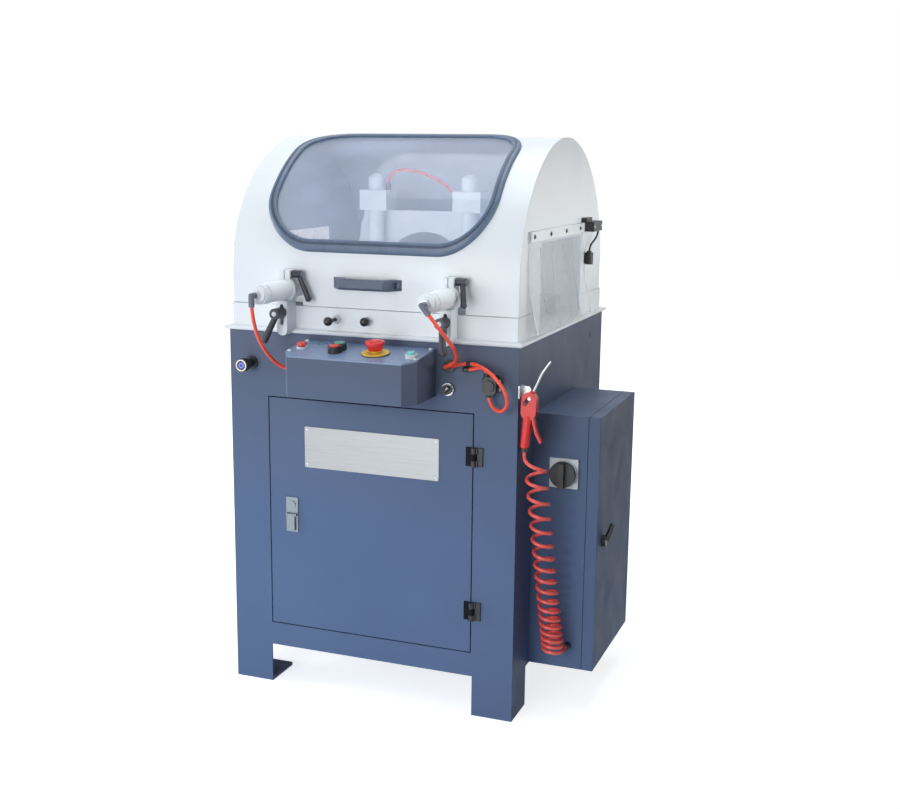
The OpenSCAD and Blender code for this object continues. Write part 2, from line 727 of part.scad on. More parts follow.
// oval body with two wells for the red and the green button
module twin_button_body() color("dimgray") at_frame() {
    on_panel(twin_at) difference() {
        linear_extrude(twin_h) {
            for (s = [-1, 1])
                translate([0, s * twin_gap]) circle(15);
            square([30, 2 * twin_gap], center = true);
        }
        for (s = [-1, 1])
            translate([0, s * twin_gap, 2]) cylinder(r = twin_r + run, h = 20);
    }
}

module twin_button(side) {
    on_panel(twin_at) translate([0, side * twin_gap, 5]) cylinder(r = twin_r, h = twin_h - 3);
}

module red_button() color("red") at_frame() twin_button(-1);

module green_button() color("green") at_frame() twin_button(1);

module pilot_button() color("firebrick") at_frame() {
    on_panel(pilot_at) {
        translate([0, 0, -12]) cylinder(r = pilot_r, h = 21);
        translate([0, 0, 8]) cylinder(r1 = pilot_r + 3, r2 = pilot_r + 2, h = 5);
    }
}

module start_button() color("teal") at_frame() {
    on_panel(start_at) translate([0, 0, -12]) cylinder(r = start_r, h = 25);
}

module selector_collar() color("silver") at_frame() {
    difference() {
        rod_y(-8, 0, selector_at, 14);
        rod_y(-9, 1, selector_at, selector_r + run);
    }
}

module selector_knob() color("dimgray") at_frame() {
    rod_y(-12, -0.5, selector_at, selector_r);
    rod_y(-16, -9, selector_at, 11);
    translate([selector_at[0], 0, selector_at[1]])
        rotate([0, 45, 0]) block([-3.5, -26, -11], [3.5, -15, 11]);
}

module feed_valve_base() color("silver") at_frame() {
    difference() {
        union() {
            rod_y(-4, 0, feed_at, 16);
            rod_y(-30, 0, feed_at, 10);
        }
        rod_y(-31, -8, feed_at, feed_shaft_r + run);
    }
}

module feed_knob() color("lightblue") at_frame() {
    rod_y(-34, -12, feed_at, feed_shaft_r);
    difference() {
        rod_y(-48, -31, feed_at, 15);
        for (a = [0 : 30 : 330])
            rod_y(-49, -36, feed_at + 16.4 * [cos(a), sin(a)], 2.2);
    }
}

module pull_knob(i) {
    rod_y(pull_out[i] + 4, pull_out[i] + pull_rod, [pull_x[i], pull_z], pull_r);
    translate([pull_x[i], pull_out[i], pull_z]) sphere(pull_ball_r);
}

module left_pull_knob() color("dimgray") at_frame() pull_knob(0);

module right_pull_knob() color("dimgray") at_frame() pull_knob(1);

// folded door with the moving half of its hinges
module cabinet_door() color("slategray") at_frame() {
    x0 = door_x + door_gap;
    x1 = door_x + door_w - door_gap;
    z0 = door_z + door_gap;
    z1 = door_z + door_h - door_gap;
    difference() {
        block([x0, 0, z0], [x1, door_fold, z1]);
        block([x0 + 2, 2, z0 + 2], [x1 - 2, door_fold + eps, z1 - 2]);
    }
    for (z = hinge_z) {
        block([door_pin_x - 19, -4, z], [door_pin_x - 7, eps, z + hinge_h]);
        difference() {
            union() {
                rod_z(z + hinge_h / 3, z + 2 * hinge_h / 3, [door_pin_x, door_pin_y], knuckle_r);
                block([door_pin_x - 9, door_pin_y, z + hinge_h / 3], [door_pin_x, -1, z + 2 * hinge_h / 3]);
            }
            rod_z(z, z + hinge_h, [door_pin_x, door_pin_y], pin_r + run);
        }
    }
}

// fixed half of the door hinges with the pins
module door_hinge_leaves() color("dimgray") at_frame() {
    for (z = hinge_z) {
        block([door_pin_x + 7, -4, z], [door_pin_x + 20, 0, z + hinge_h]);
        for (k = [[z, z + hinge_h / 3 - 0.5], [z + 2 * hinge_h / 3 + 0.5, z + hinge_h]]) {
            rod_z(k[0], k[1], [door_pin_x, door_pin_y], knuckle_r);
            block([door_pin_x, door_pin_y, k[0]], [door_pin_x + 9, -1, k[1]]);
        }
        rod_z(z, z + hinge_h, [door_pin_x, door_pin_y], pin_r);
    }
}

module door_latch() color("silver") at_frame() {
    block([latch_at[0], -3, latch_at[1]], [latch_at[0] + latch_w, 0, latch_at[1] + latch_h]);
    for (x = [latch_at[0] + 2, latch_at[0] + latch_w - 6])
        block([x, paddle_y - 3, paddle_z - 3], [x + 4, -2.5, paddle_z + 3]);
    rod_x(latch_at[0] + 2, latch_at[0] + latch_w - 2, [paddle_y, paddle_z], 1.5);
    rod_y(-5, -2.5, [latch_at[0] + latch_w / 2, latch_at[1] + latch_h - 18], 9);
}

module latch_paddle() color("gray") at_frame() {
    x0 = latch_at[0] + 6.5;
    x1 = latch_at[0] + latch_w - 6.5;
    difference() {
        union() {
            rod_x(x0, x1, [paddle_y, paddle_z], 2.7);
            block([x0, paddle_y - 2.7, latch_at[1] + 4], [x1, paddle_y + 1, paddle_z]);
        }
        rod_x(x0 - 1, x1 + 1, [paddle_y, paddle_z], 1.5 + run);
    }
}

// box on the cabinet's right side with the fixed half of its hinges
module ebox_shell() color("dimgray") at_frame() {
    difference() {
        block([cab_w, ebox_y, ebox_z], [ebox_right, ebox_y + ebox_l, ebox_z + ebox_h]);
        block([cab_w + 2, ebox_y + 2, ebox_z + 2],
            [ebox_right + eps, ebox_y + ebox_l - 2, ebox_z + ebox_h - 2]);
        rod_y(ebox_y - eps, ebox_y + 2 + eps, iso_at, iso_shaft_r + 1);
    }
    for (z = ebox_knuckles) {
        block([ebox_right - 20, ebox_y + ebox_l - eps, z], [ebox_right - 5, ebox_pin[1] - 3, z + 40]);
        for (k = [[z, z + 12.5], [z + 27.5, z + 40]]) {
            rod_z(k[0], k[1], ebox_pin, ebox_pin_r);
            block([ebox_right - 8, ebox_pin[1] - 5, k[0]], [ebox_pin[0], ebox_pin[1] - 3, k[1]]);
        }
        rod_z(z, z + 40, ebox_pin, pin_r);
    }
}

module ebox_door() color("dimgray") at_frame() {
    difference() {
        block([ebox_right + 1, ebox_y, ebox_z], [ebox_face, ebox_y + ebox_l, ebox_z + ebox_h]);
        block([ebox_right, ebox_y + 2, ebox_z + 2],
            [ebox_face - 3, ebox_y + ebox_l - 2, ebox_z + ebox_h - 2]);
        rod_x(ebox_face - 4, ebox_face + 1, wing_at, 6 + run);
    }
    for (z = ebox_knuckles) {
        block([ebox_pin[0] + 6, ebox_y + ebox_l - eps, z], [ebox_face - 4, ebox_pin[1] - 3, z + 40]);
        difference() {
            union() {
                rod_z(z + 13, z + 27, ebox_pin, ebox_pin_r);
                block([ebox_pin[0], ebox_pin[1] - 5, z + 13], [ebox_pin[0] + 8, ebox_pin[1] - 3, z + 27]);
            }
            rod_z(z, z + 40, ebox_pin, pin_r + run);
        }
    }
}

// lever knob with its cam behind the door
module ebox_latch() color("dimgray") at_frame() {
    rod_x(ebox_face - 14, ebox_face + 4, wing_at, 6);
    rod_x(ebox_face + 0.5, ebox_face + 9, wing_at, 13);
    wing_tip = [ebox_face + wing_out - wing_tip_r, wing_at[0] + 10, wing_at[1] + 34];
    bar([ebox_face + 9, wing_at[0], wing_at[1] + 2], wing_tip, 7, wing_tip_r - 0.6);
    translate(wing_tip) sphere(wing_tip_r);
    block([ebox_face - 14, wing_at[0] - 8, wing_at[1] - 8],
        [ebox_face - 10, wing_at[0] + 8, wing_at[1] + 40]);
}

module isolator_plate() color("gainsboro") at_frame() {
    difference() {
        union() {
            block([iso_at[0] - 33, ebox_y - 6, iso_at[1] - 33.5], [iso_at[0] + 33, ebox_y, iso_at[1] + 33.5]);
            rod_y(ebox_y - 12, ebox_y, iso_at, 31.5);
        }
        rod_y(ebox_y - 13, ebox_y + 1, iso_at, iso_shaft_r + run);
    }
}

module isolator_knob() color("black") at_frame() {
    rod_y(ebox_y - 16, ebox_y - 1, iso_at, iso_shaft_r);
    rod_y(ebox_y - 22, ebox_y - 12.5, iso_at, 29.5);
    block([iso_at[0] - 7, ebox_y - 36, iso_at[1] - 28], [iso_at[0] + 7, ebox_y - 21, iso_at[1] + 28]);
}

// sheet hood: arch, end plates, window opening, clamp notches and hinge arms
module hood_shell() color("white") at_frame() {
    difference() {
        along_x(rim_in, cab_w - rim_in) arch(0);
        translate([0, 0, -eps]) along_x(rim_in + hood_t, cab_w - rim_in - hood_t) arch(hood_t);
        window_prism(12);
        block([0, end_y, skirt_z - 1], [cab_w, end_y + end_l, end_z]);
        for (x = clamp_x) {
            rod_y(0, 60, [x, clamp_z], notch_r);
            block([x - notch_r, 0, skirt_z - 1], [x + notch_r, 60, clamp_z]);
        }
    }
    for (x = hood_lug_x) difference() {
        along_x(x - 7.5, x + 7.5) {
            translate([hood_pin_y, hood_pin_z]) circle(hood_lug_r);
            polygon([[hood_y + hood_half - 1, skirt_z + 2], [cab_d - rim_in + 1.5, skirt_z + 1],
                [hood_pin_y, hood_pin_z], [hood_pin_y + hood_lug_r, hood_pin_z],
                [hood_pin_y + 2, hood_pin_z + 24], [hood_y + hood_half - 1, hood_pin_z + 52]]);
        }
        rod_x(x - 8, x + 8, [hood_pin_y, hood_pin_z], hood_pin_r + run);
    }
}

module hood_window() color("lightblue") at_frame() {
    intersection() {
        hood_skin(0, glass_t);
        window_prism(12.5);
    }
}

module window_gasket() color("slategray") at_frame() {
    intersection() {
        hood_skin(-gasket_up, 0);
        difference() {
            window_prism(0);
            window_prism(gasket_w);
        }
    }
}

// bridge handle on the skirt, with a screw pocket in each leg
module hood_handle() color("dimgray") at_frame() {
    x0 = cab_w / 2 - 6.5;
    y0 = hood_y - hood_half;
    z0 = spring_z - 19;
    difference() {
        intersection() {
            translate([0, 0, z0]) linear_extrude(24) difference() {
                polygon([[x0 - 82, y0], [x0 - 52, y0 - 37], [x0 + 52, y0 - 37], [x0 + 82, y0]]);
                polygon([[x0 - 58, y0 + 1], [x0 - 41, y0 - 25], [x0 + 41, y0 - 25], [x0 + 58, y0 + 1]]);
            }
            along_x(x0 - 90, x0 + 90) polygon([[y0, z0], [y0, z0 + 24], [y0 - 32, z0 + 24],
                [y0 - 37, z0 + 19], [y0 - 37, z0 + 5], [y0 - 32, z0]]);
        }
        for (x = [[x0 - 89, x0 - 70], [x0 + 70, x0 + 89]])
            block([x[0], y0 - 18, z0 + 6], [x[1], y0 - 5, z0 + 18]);
    }
}

// clear strips over the end openings, curling outward
module curtain() {
    x0 = cab_w - rim_in;
    block([x0, curtain_y, curtain_bend - eps], [x0 + curtain_t, curtain_y + curtain_l, curtain_top]);
    difference() {
        intersection() {
            rod_y(curtain_y, curtain_y + curtain_l, [x0 + curl_r + curtain_t, curtain_bend],
                curl_r + curtain_t);
            block([x0, curtain_y, curtain_low], [x0 + 60, curtain_y + curtain_l, curtain_bend]);
        }
        rod_y(curtain_y - 1, curtain_y + curtain_l + 1, [x0 + curl_r + curtain_t, curtain_bend], curl_r);
        for (k = [1 : 4])
            block([x0 - 1, curtain_y + k * curtain_l / 5, curtain_low - 1],
                [x0 + 70, curtain_y + k * curtain_l / 5 + 1, curtain_bend - 25]);
    }
}

module curtains() color("lightcyan") at_frame() {
    curtain();
    translate([cab_w, 0, 0]) mirror([1, 0, 0]) curtain();
}

// switch on the hood's right end, with the round connector under it
module interlock_switch() color("black") at_frame() {
    x0 = cab_w - rim_in;
    block([x0, lock_y + 8, end_z + 7], [x0 + 28, lock_y + 90, end_z + 31]);
    block([x0, lock_y - 10, end_z + 30], [x0 + 14, lock_y + 42, end_z + 41]);
    block([x0, lock_y + 27, end_z - 72], [x0 + 8, lock_y + 43, end_z - 48]);
    rod_z(end_z - 75, end_z - 46, [x0 + 11, lock_y + 35], 10);
    rod_z(end_z - 47, end_z - 42, [x0 + 11, lock_y + 35], 6);
}

module clamp_rod(x) {
    rod_y(cyl_back - stroke - 28, cyl_back + 58, [x, clamp_z], rod_r);
    rod_y(cyl_back + 56, cyl_back + 68, [x, clamp_z], 20);
}

module left_clamp_rod() color("silver") at_frame() clamp_rod(clamp_x[0]);

module right_clamp_rod() color("silver") at_frame() clamp_rod(clamp_x[1]);

module top_rod(x) {
    rod_z(bridge_z - 108, bridge_z + 36, [x, top_y], rod_r);
    rod_z(bridge_z - 115, bridge_z - 103, [x, top_y], 18);
}

module left_top_rod() color("silver") at_frame() top_rod(top_x[0]);

module right_top_rod() color("silver") at_frame() top_rod(top_x[1]);

// clamping lever on the split of the collar; forward swings it toward the front, splay leans it outward
module upper_lever(x, forward, splay) {
    translate([x, upper_y, upper_z]) {
        rod_x(1.5 - post_half, post_half + 5, [0, 0], stud_r);
        rod_x(post_half + 1, post_half + 23, [0, 0], 8.5);
        rotate([-forward, 0, 0]) {
            bar([post_half + 15, 0, 0], [post_half + 15 + splay, 0, -54], 5.5, 6.4);
            translate([post_half + 15 + splay, 0, -54]) sphere(7);
        }
    }
}

module left_upper_lever() color("black") at_frame() upper_lever(clamp_x[0], 0, 24);

module right_upper_lever() color("black") at_frame() upper_lever(clamp_x[1], 30, 13);

// lever on the post's slot; swing turns it toward +X
module lower_lever(x, swing) {
    translate([x, 0, lower_z]) {
        rod_y(post_front - 4, -lip - 4, [0, 0], stud_r);
        rod_y(-72, post_front - 0.5, [0, 0], 12);
        rotate([0, -swing, 0]) {
            bar([0, -58, 0], [0, -76, -62], 6.5, 8);
            translate([0, -76, -62]) sphere(8);
        }
    }
}

module left_lower_lever() color("black") at_frame() lower_lever(clamp_x[0], -21);

module right_lower_lever() color("black") at_frame() lower_lever(clamp_x[1], 10);

module flow_regulator() color("black") at_frame() {
    translate([reg_at[0], 0, reg_at[1]]) {
        along_y(-32, 0) polygon([[reg_cut - reg_half[0], -reg_half[1]], [reg_half[0] - reg_cut, -reg_half[1]],
            [reg_half[0], reg_cut - reg_half[1]], [reg_half[0], reg_half[1] - reg_cut],
            [reg_half[0] - reg_cut, reg_half[1]], [reg_cut - reg_half[0], reg_half[1]],
            [-reg_half[0], reg_half[1] - reg_cut], [-reg_half[0], reg_cut - reg_half[1]]]);
        rod_y(-36, -31, [0, 0], 12);
        for (z = [-8.5, 8.5])
            rod_x(-reg_half[0] - 4, reg_half[0] + 4, [-16, z], 6);
    }
    rod_z(reg_at[1], reg_at[1] + reg_reach, [reg_port[0], -20], 6);
    rod_z(reg_at[1] - reg_reach, reg_at[1], [reg_port[1], -20], 6);
}

// plate on the cabinet's side with an arm and a pin through the gun's hanging hole
module gun_hook() color("silver") at_frame() {
    block([cab_w, gun_y - 12, gun_pin[1]], [cab_w + 3, gun_y + 14, gun_pin[1] + 27]);
    along_y(gun_y + gun_half + 0.3, gun_y + gun_half + 3.3) translate(gun_pin)
        polygon([[-20, 1], [-20, 26], [-4, 24], [6, 4], [5, -5], [-5, -5], [-9, 2]]);
    rod_y(gun_y - 3, gun_y + gun_half + 1, gun_pin, gun_pin_r);
}

// air gun: oval head with the hanging hole, handle and the slot for the trigger
module gun_body() color("crimson") at_frame() {
    difference() {
        union() {
            along_y(gun_y - gun_half, gun_y + gun_half) translate([cab_w, gun_z]) {
                translate([22.5, 38.5]) circle(16.5);
                translate([22, 12]) circle(17);
                polygon([[5, 12], [39, 12], [39, 38.5], [6, 38.5]]);
            }
            bar([gun_low[0], gun_y, gun_low[1]], [cab_w + 20, gun_y, gun_z + 4], 10, 11);
            bar([cab_w + 24, gun_y, gun_z + 46], [cab_w + 30, gun_y, gun_z + 58], 6, 5);
        }
        block([cab_w + 24, gun_y - 6.3, gun_z - 24], [cab_w + 45, gun_y + 6.3, gun_z + 13]);
        block([cab_w, gun_y - 20, gun_low[1] - 30], [cab_w + 40, gun_y + 20, gun_low[1] + 1]);
        for (at = [gun_hole, gun_pin])
            rod_y(gun_y - gun_half - 1, gun_y + gun_half + 1, at, gun_pin_r + 0.5);
        along_y(gun_y - gun_half - 1, gun_y + gun_half + 1) translate(gun_hole)
            rotate(atan2(gun_pin[1] - gun_hole[1], gun_pin[0] - gun_hole[0])) translate([0, -gun_pin_r - 0.5])
            square([norm(gun_pin - gun_hole), 2 * gun_pin_r + 1]);
    }
    rod_y(gun_y - 7, gun_y + 7, trigger_at, 2);
    rod_z(hose_port_z, gun_low[1] + 2, [gun_low[0], gun_y], 8);
}

module gun_nozzle() color("silver") at_frame() translate([cab_w, gun_y, gun_z]) {
    bar([30, 0, 57], [48, 0, 98], 3, 3);
    translate([48, 0, 98]) sphere(3.4);
    bar([48, 0, 98], [66, 0, 124], 3, 2.5);
}

module gun_trigger() color("crimson") at_frame() {
    difference() {
        union() {
            rod_y(gun_y - 6, gun_y + 6, trigger_at, 4.5);
            along_y(gun_y - 6, gun_y + 6) translate([cab_w, gun_z])
                polygon([[28, 1], [34, 1], [37, -16], [42, -32], [52, -52], [48, -55], [37, -36], [32, -18]]);
        }
        rod_y(gun_y - 8, gun_y + 8, trigger_at, 2 + run);
    }
}

// belt housing that swings up about its cross shaft
module saw_arm() color("slategray") at_frame() {
    difference() {
        along_x(arm_x[0], arm_x[1]) {
            translate(spindle_at) circle(44);
            translate(pivot_at) circle(36);
            translate(motor_at) circle(74);
            polygon([spindle_at + [0, 44], pivot_at + [0, 36], pivot_at + [10, -34],
                motor_at + [60, -42], motor_at + [-60, -42], spindle_at + [-34, -27]]);
        }
        rod_x(arm_x[0] - 1, arm_x[1] - 6, spindle_at, spindle_r + run);
    }
    rod_x(cheek_x[0], cheek_x[1] + cheek_t, pivot_at, pivot_r);
}

module saw_motor() color("gray") at_frame() {
    difference() {
        union() {
            rod_x(arm_x[1], arm_x[1] + 150, motor_at, 68);
            rod_x(arm_x[1] + 150 - eps, arm_x[1] + 182, motor_at, 62);
        }
        for (a = [0 : 30 : 330])
            rod_x(arm_x[1] + 20, arm_x[1] + 140, motor_at + 70 * [cos(a), sin(a)], 5);
    }
    block([arm_x[1] + 40, motor_at[0] - 30, motor_at[1] - 86],
        [arm_x[1] + 110, motor_at[0] + 30, motor_at[1] - 60]);
}

// toothed disc between two flanges, with its spindle
module saw_blade() color("silver") at_frame() {
    along_x(blade_x - blade_t / 2, blade_x + blade_t / 2) translate(spindle_at)
        polygon([for (k = [0 : teeth - 1], p = [[0, 0], [0.25, -9], [0.55, -5]])
            (blade_r + p[1]) * [cos(360 * (k + p[0]) / teeth), sin(360 * (k + p[0]) / teeth)]]);
    rod_x(blade_x - 12, blade_x + 10, spindle_at, 40);
    rod_x(blade_x - 20, arm_x[1] - 8, spindle_at, spindle_r);
}

module left_clamp_hose() color("tomato") at_frame() tube(smooth(left_route, 3), hose_r, 10);

module right_clamp_hose() color("tomato") at_frame() tube(smooth(right_route, 3), hose_r, 10);

module regulator_loop_hose() color("tomato") at_frame() tube(smooth(loop_route, 3), hose_r, 10);

module regulator_feed_hose() color("tomato") at_frame() tube(smooth(feed_route, 3), hose_r, 10);

module bridge_hose() color("tomato") at_frame() tube(smooth(bridge_route, 3), hose_r, 10);

module interlock_cable() color("black") at_frame() tube(smooth(cable_route, 3), cable_r, 8);

module coil_hose() color("tomato") at_frame() {
    echo(coil_gap = coil_gap);
    tube(coil_path, hose_r, 6);
}

cabinet_shell();
base_tray();
work_table();
clamp_bridge();
clamp_posts();
air_cylinders();
air_fittings();
control_box();
control_lid();
estop_collar();
twin_button_body();
selector_collar();
feed_valve_base();
door_hinge_leaves();
ebox_shell();
isolator_plate();
interlock_switch();
gun_hook();
gun_body();
gun_nozzle();
flow_regulator();
left_clamp_hose();
right_clamp_hose();
regulator_loop_hose();
regulator_feed_hose();
bridge_hose();
coil_hose();
interlock_cable();
left_clamp_rod();
right_clamp_rod();
left_upper_lever();
right_upper_lever();
left_lower_lever();
right_lower_lever();
left_top_rod();
right_top_rod();
estop_button();
red_button();
green_button();
pilot_button();
start_button();
selector_knob();
feed_knob();
left_pull_knob();
right_pull_knob();
cabinet_door();
door_latch();
latch_paddle();
ebox_door();
ebox_latch();
isolator_knob();
hood_shell();
hood_window();
window_gasket();
hood_handle();
curtains();
gun_trigger();
saw_arm();
saw_motor();
saw_blade();
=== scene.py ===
import math

import bmesh
import bpy
import numpy as np
from mathutils import Matrix, Vector


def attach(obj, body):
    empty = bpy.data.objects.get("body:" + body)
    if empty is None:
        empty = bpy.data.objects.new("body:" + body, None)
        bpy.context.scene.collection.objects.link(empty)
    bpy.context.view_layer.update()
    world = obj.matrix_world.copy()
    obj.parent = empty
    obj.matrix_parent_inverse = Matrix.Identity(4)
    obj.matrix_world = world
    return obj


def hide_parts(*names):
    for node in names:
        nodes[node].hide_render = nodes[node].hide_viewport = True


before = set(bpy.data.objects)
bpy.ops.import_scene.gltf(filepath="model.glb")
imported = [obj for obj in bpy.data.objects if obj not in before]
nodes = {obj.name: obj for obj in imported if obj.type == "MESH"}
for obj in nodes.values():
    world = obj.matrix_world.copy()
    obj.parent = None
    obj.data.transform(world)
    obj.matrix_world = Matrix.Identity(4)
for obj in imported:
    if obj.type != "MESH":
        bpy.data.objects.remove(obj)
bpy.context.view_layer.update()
print("frame loaded,", len(nodes), "nodes")

scene = bpy.context.scene
scene.view_settings.view_transform = "Standard"

# sizes below are in mm from the cabinet's left front bottom corner, as in the part's source
middle = np.array([426.6442163, 276.25, 0.0])
toFront, toRight = [0, -1, 0], [1, 0, 0]


def inFrame(points):
    # mm from the cabinet corner to metres in the shared frame
    return (np.asarray(points, float) - middle) / 1000


# camera, fitted to the edges of the cabinet in the photo
cameraSpec = {"place": (1480.9, -2488.5, 1249.7), "yaw": 20.62, "pitch": 11.36, "roll": 0.64, "lens": 49.816,
              "sensor": 36, "farLimit": 50}


def makeCamera(spec):
    yaw, pitch, roll = np.radians([spec["yaw"], spec["pitch"], spec["roll"]])
    ahead = np.array([-np.sin(yaw) * np.cos(pitch), np.cos(yaw) * np.cos(pitch), -np.sin(pitch)])
    right = np.array([np.cos(yaw), np.sin(yaw), 0.0])
    up = np.cross(right, ahead)
    right, up = (np.cos(roll) * right + np.sin(roll) * up, np.cos(roll) * up - np.sin(roll) * right)
    data = bpy.data.cameras.new("photoCamera")
    data.sensor_width = spec["sensor"]
    data.lens = spec["lens"]
    data.clip_end = spec["farLimit"]
    cam = bpy.data.objects.new("photoCamera", data)
    scene.collection.objects.link(cam)
    turn = np.eye(4)
    turn[:3, 0], turn[:3, 1], turn[:3, 2], turn[:3, 3] = right, up, -ahead, inFrame(spec["place"])
    cam.matrix_world = Matrix(turn.tolist())
    scene.camera = cam


makeCamera(cameraSpec)
print("camera set")


def gridFaces(rows, cols, start):
    # quads between neighbouring points of a grid whose columns close round
    r = np.arange(rows - 1)[:, None]
    c = np.arange(cols)[None, :]
    c2 = (c + 1) % cols
    quads = np.stack([r * cols + c, r * cols + c2, (r + 1) * cols + c2, (r + 1) * cols + c], axis=-1)
    return start + quads.reshape(-1, 4)


def makePiece(name, grids, finish, body, sharp=35):
    # each grid is rows x columns x 3 in mm; rows that shrink to a point, or meet the first row, close it
    counts = np.cumsum([0] + [g.shape[0] * g.shape[1] for g in grids])
    points = np.concatenate([g.reshape(-1, 3) for g in grids])
    faces = np.concatenate([gridFaces(g.shape[0], g.shape[1], n) for g, n in zip(grids, counts)])
    mesh = bpy.data.meshes.new(name)
    mesh.from_pydata(inFrame(points).tolist(), [], faces.tolist())
    work = bmesh.new()
    work.from_mesh(mesh)
    bmesh.ops.remove_doubles(work, verts=work.verts, dist=2e-6)
    bmesh.ops.dissolve_degenerate(work, edges=work.edges, dist=1e-6)
    bmesh.ops.recalc_face_normals(work, faces=work.faces)
    work.to_mesh(mesh)
    work.free()
    mesh.shade_smooth()
    mesh.set_sharp_from_angle(angle=math.radians(sharp))
    mesh.materials.append(finish)
    piece = bpy.data.objects.new(name, mesh)
    scene.collection.objects.link(piece)
    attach(piece, body)
    return piece


def axesFor(normal):
    # two axes square to a normal, and the normal at unit length
    n = np.asarray(normal, float) / np.linalg.norm(normal)
    u = np.cross([0.0, 0.0, 1.0] if abs(n[2]) < 0.9 else [1.0, 0.0, 0.0], n)
    u /= np.linalg.norm(u)
    return u, np.cross(n, u), n


def lofted(outline, rows, place, normal):
    # an outline scaled by the second number of each row and raised by the first along the normal
    u, v, n = axesFor(normal)
    rows = np.asarray(rows, float)
    flat = outline[:, 0, None] * u + outline[:, 1, None] * v
    return (np.asarray(place, float) + rows[:, 0, None, None] * n
            + rows[:, 1, None, None] * flat[None, :, :])


def circle(count=40):
    a = np.linspace(0, 2 * np.pi, count, endpoint=False)
    return np.stack([np.cos(a), np.sin(a)], axis=-1)


def turned(rows, place, normal, count=40):
    # surface of revolution from rows of height and radius
    return lofted(circle(count), rows, place, normal)


def roundedOutline(halfU, halfV, radius, perCorner=8, alongU=2, alongV=2):
    # rounded rectangle run once round: four quarter circles joined by evenly divided straights
    centres = np.array([[1, 1], [-1, 1], [-1, -1], [1, -1]]) * [halfU - radius, halfV - radius]
    a = np.linspace(0, np.pi / 2, perCorner)[None, :] + np.arange(4)[:, None] * np.pi / 2
    arcs = centres[:, None, :] + radius * np.stack([np.cos(a), np.sin(a)], axis=-1)
    runs = []
    for k, steps in enumerate((alongU, alongV, alongU, alongV)):
        part = np.linspace(0, 1, steps + 1)[1:-1, None]
        here, there = arcs[k, -1], arcs[(k + 1) % 4, 0]
        runs += [arcs[k], here + part * (there - here)]
    return np.concatenate(runs)


def slab(halfU, halfV, radius, thick, place, normal, edge=0.3):
    # flat plate with rounded corners and softened edges
    wall = lofted(roundedOutline(halfU, halfV, radius), [(0, 0), (0, 1), (thick - edge, 1)], place, normal)
    face = lofted(roundedOutline(halfU - edge, halfV - edge, radius - edge), [(thick, 1), (thick, 0)], place, normal)
    return np.concatenate([wall, face])


def ringOf(inner, outer, height, place, normal, edge=0.6, count=48):
    # flat ring with softened rims
    rows = [(0, inner), (height - edge, inner), (height, inner + edge), (height, outer - edge),
            (height - edge, outer), (0, outer), (0, inner)]
    return turned(rows, place, normal, count)


def domeScrew(radius, height, place, normal):
    # domed head with a round recess
    rows = [(0, 0), (0, radius), (0.35 * height, radius), (0.7 * height, 0.82 * radius), (0.95 * height, 0.45 * radius),
            (height, 0.3 * radius), (0.6 * height, 0.28 * radius), (0.6 * height, 0)]
    return turned(rows, place, normal, 24)


def smoothRoute(route, steps):
    # Catmull-Rom run through the inner points of a route; its first and last stretch stay straight
    p = np.asarray(route, float)
    t = (np.arange(steps) / steps)[None, :, None]
    a, b, c, d = (p[i:len(p) - 3 + i, None, :] for i in range(4))
    run = 0.5 * (2 * b + t * (c - a) + t ** 2 * (2 * a - 5 * b + 4 * c - d)
                 + t ** 3 * (3 * b - a - 3 * c + d))
    return np.concatenate([p[:1], run.reshape(-1, 3), p[-2:]])


def spaced(path, count):
    # the same line with evenly spaced points
    run = np.concatenate([[0], np.cumsum(np.linalg.norm(np.diff(path, axis=0), axis=1))])
    at = np.linspace(0, run[-1], count)
    return np.stack([np.interp(at, run, path[:, k]) for k in range(3)], axis=-1)


def relaxed(path, give, rounds=4000, step=0.06):
    # a stiff hose eases its bends, held at both ends and within the given distance of its route
    eased = path.copy()
    for turn in range(rounds):
        curve, force = np.zeros_like(path), np.zeros_like(path)
        curve[1:-1] = eased[:-2] + eased[2:] - 2 * eased[1:-1]
        force[1:-1] = curve[:-2] + curve[2:] - 2 * curve[1:-1]
        off = eased - step * force - path
        far = np.linalg.norm(off, axis=1)[:, None]
        eased = path + off * np.minimum(1, give / np.maximum(far, 1e-9))
    return eased


def layRoute(start, lead, end, tail, bows):
    # straight out of one fitting and into the other, with the bows added to the line between
    a, b = np.asarray(start, float) + lead, np.asarray(end, float) + tail
    t = (np.arange(1, len(bows) + 1) / (len(bows) + 1))[:, None]
    return np.concatenate([[start, a], a + t * (b - a) + np.asarray(bows, float), [b, end]])


def tubeGrid(path, radius, sides):
    # a circle of the given radius carried along the path without twist, closed by end discs
    heading = np.gradient(path, axis=0)
    heading[0], heading[-1] = path[1] - path[0], path[-1] - path[-2]
    heading /= np.linalg.norm(heading, axis=1)[:, None]
    normal = np.cross(heading[0], [0.3, 0.5, 0.8])  # any way that none of the paths starts in
    carried = []
    for step in heading:  # one normal per ring, carried on from the last
        normal = normal - normal.dot(step) * step
        normal = normal / np.linalg.norm(normal)
        carried.append(normal)
    carried = np.array(carried)
    other = np.cross(heading, carried)
    a = np.linspace(0, 2 * np.pi, sides, endpoint=False)
    ring = np.cos(a)[None, :, None] * carried[:, None, :] + np.sin(a)[None, :, None] * other[:, None, :]
    wall = path[:, None, :] + radius * ring
    ends = [np.repeat(path[i][None, None, :], sides, axis=1) for i in (0, -1)]
    return np.concatenate([ends[0], wall, ends[1]])


# finishes: procedural materials on Object coordinates
def tone(r, g, b):
    # display colour 0-255 to linear
    c = np.array([r, g, b]) / 255
    return tuple(float(x) for x in np.where(c <= 0.04045, c / 12.92, ((c + 0.055) / 1.055) ** 2.4)) + (1.0,)


def shaded(colour, amount):
    return tuple(min(1.0, c * amount) for c in colour[:3]) + (1.0,)


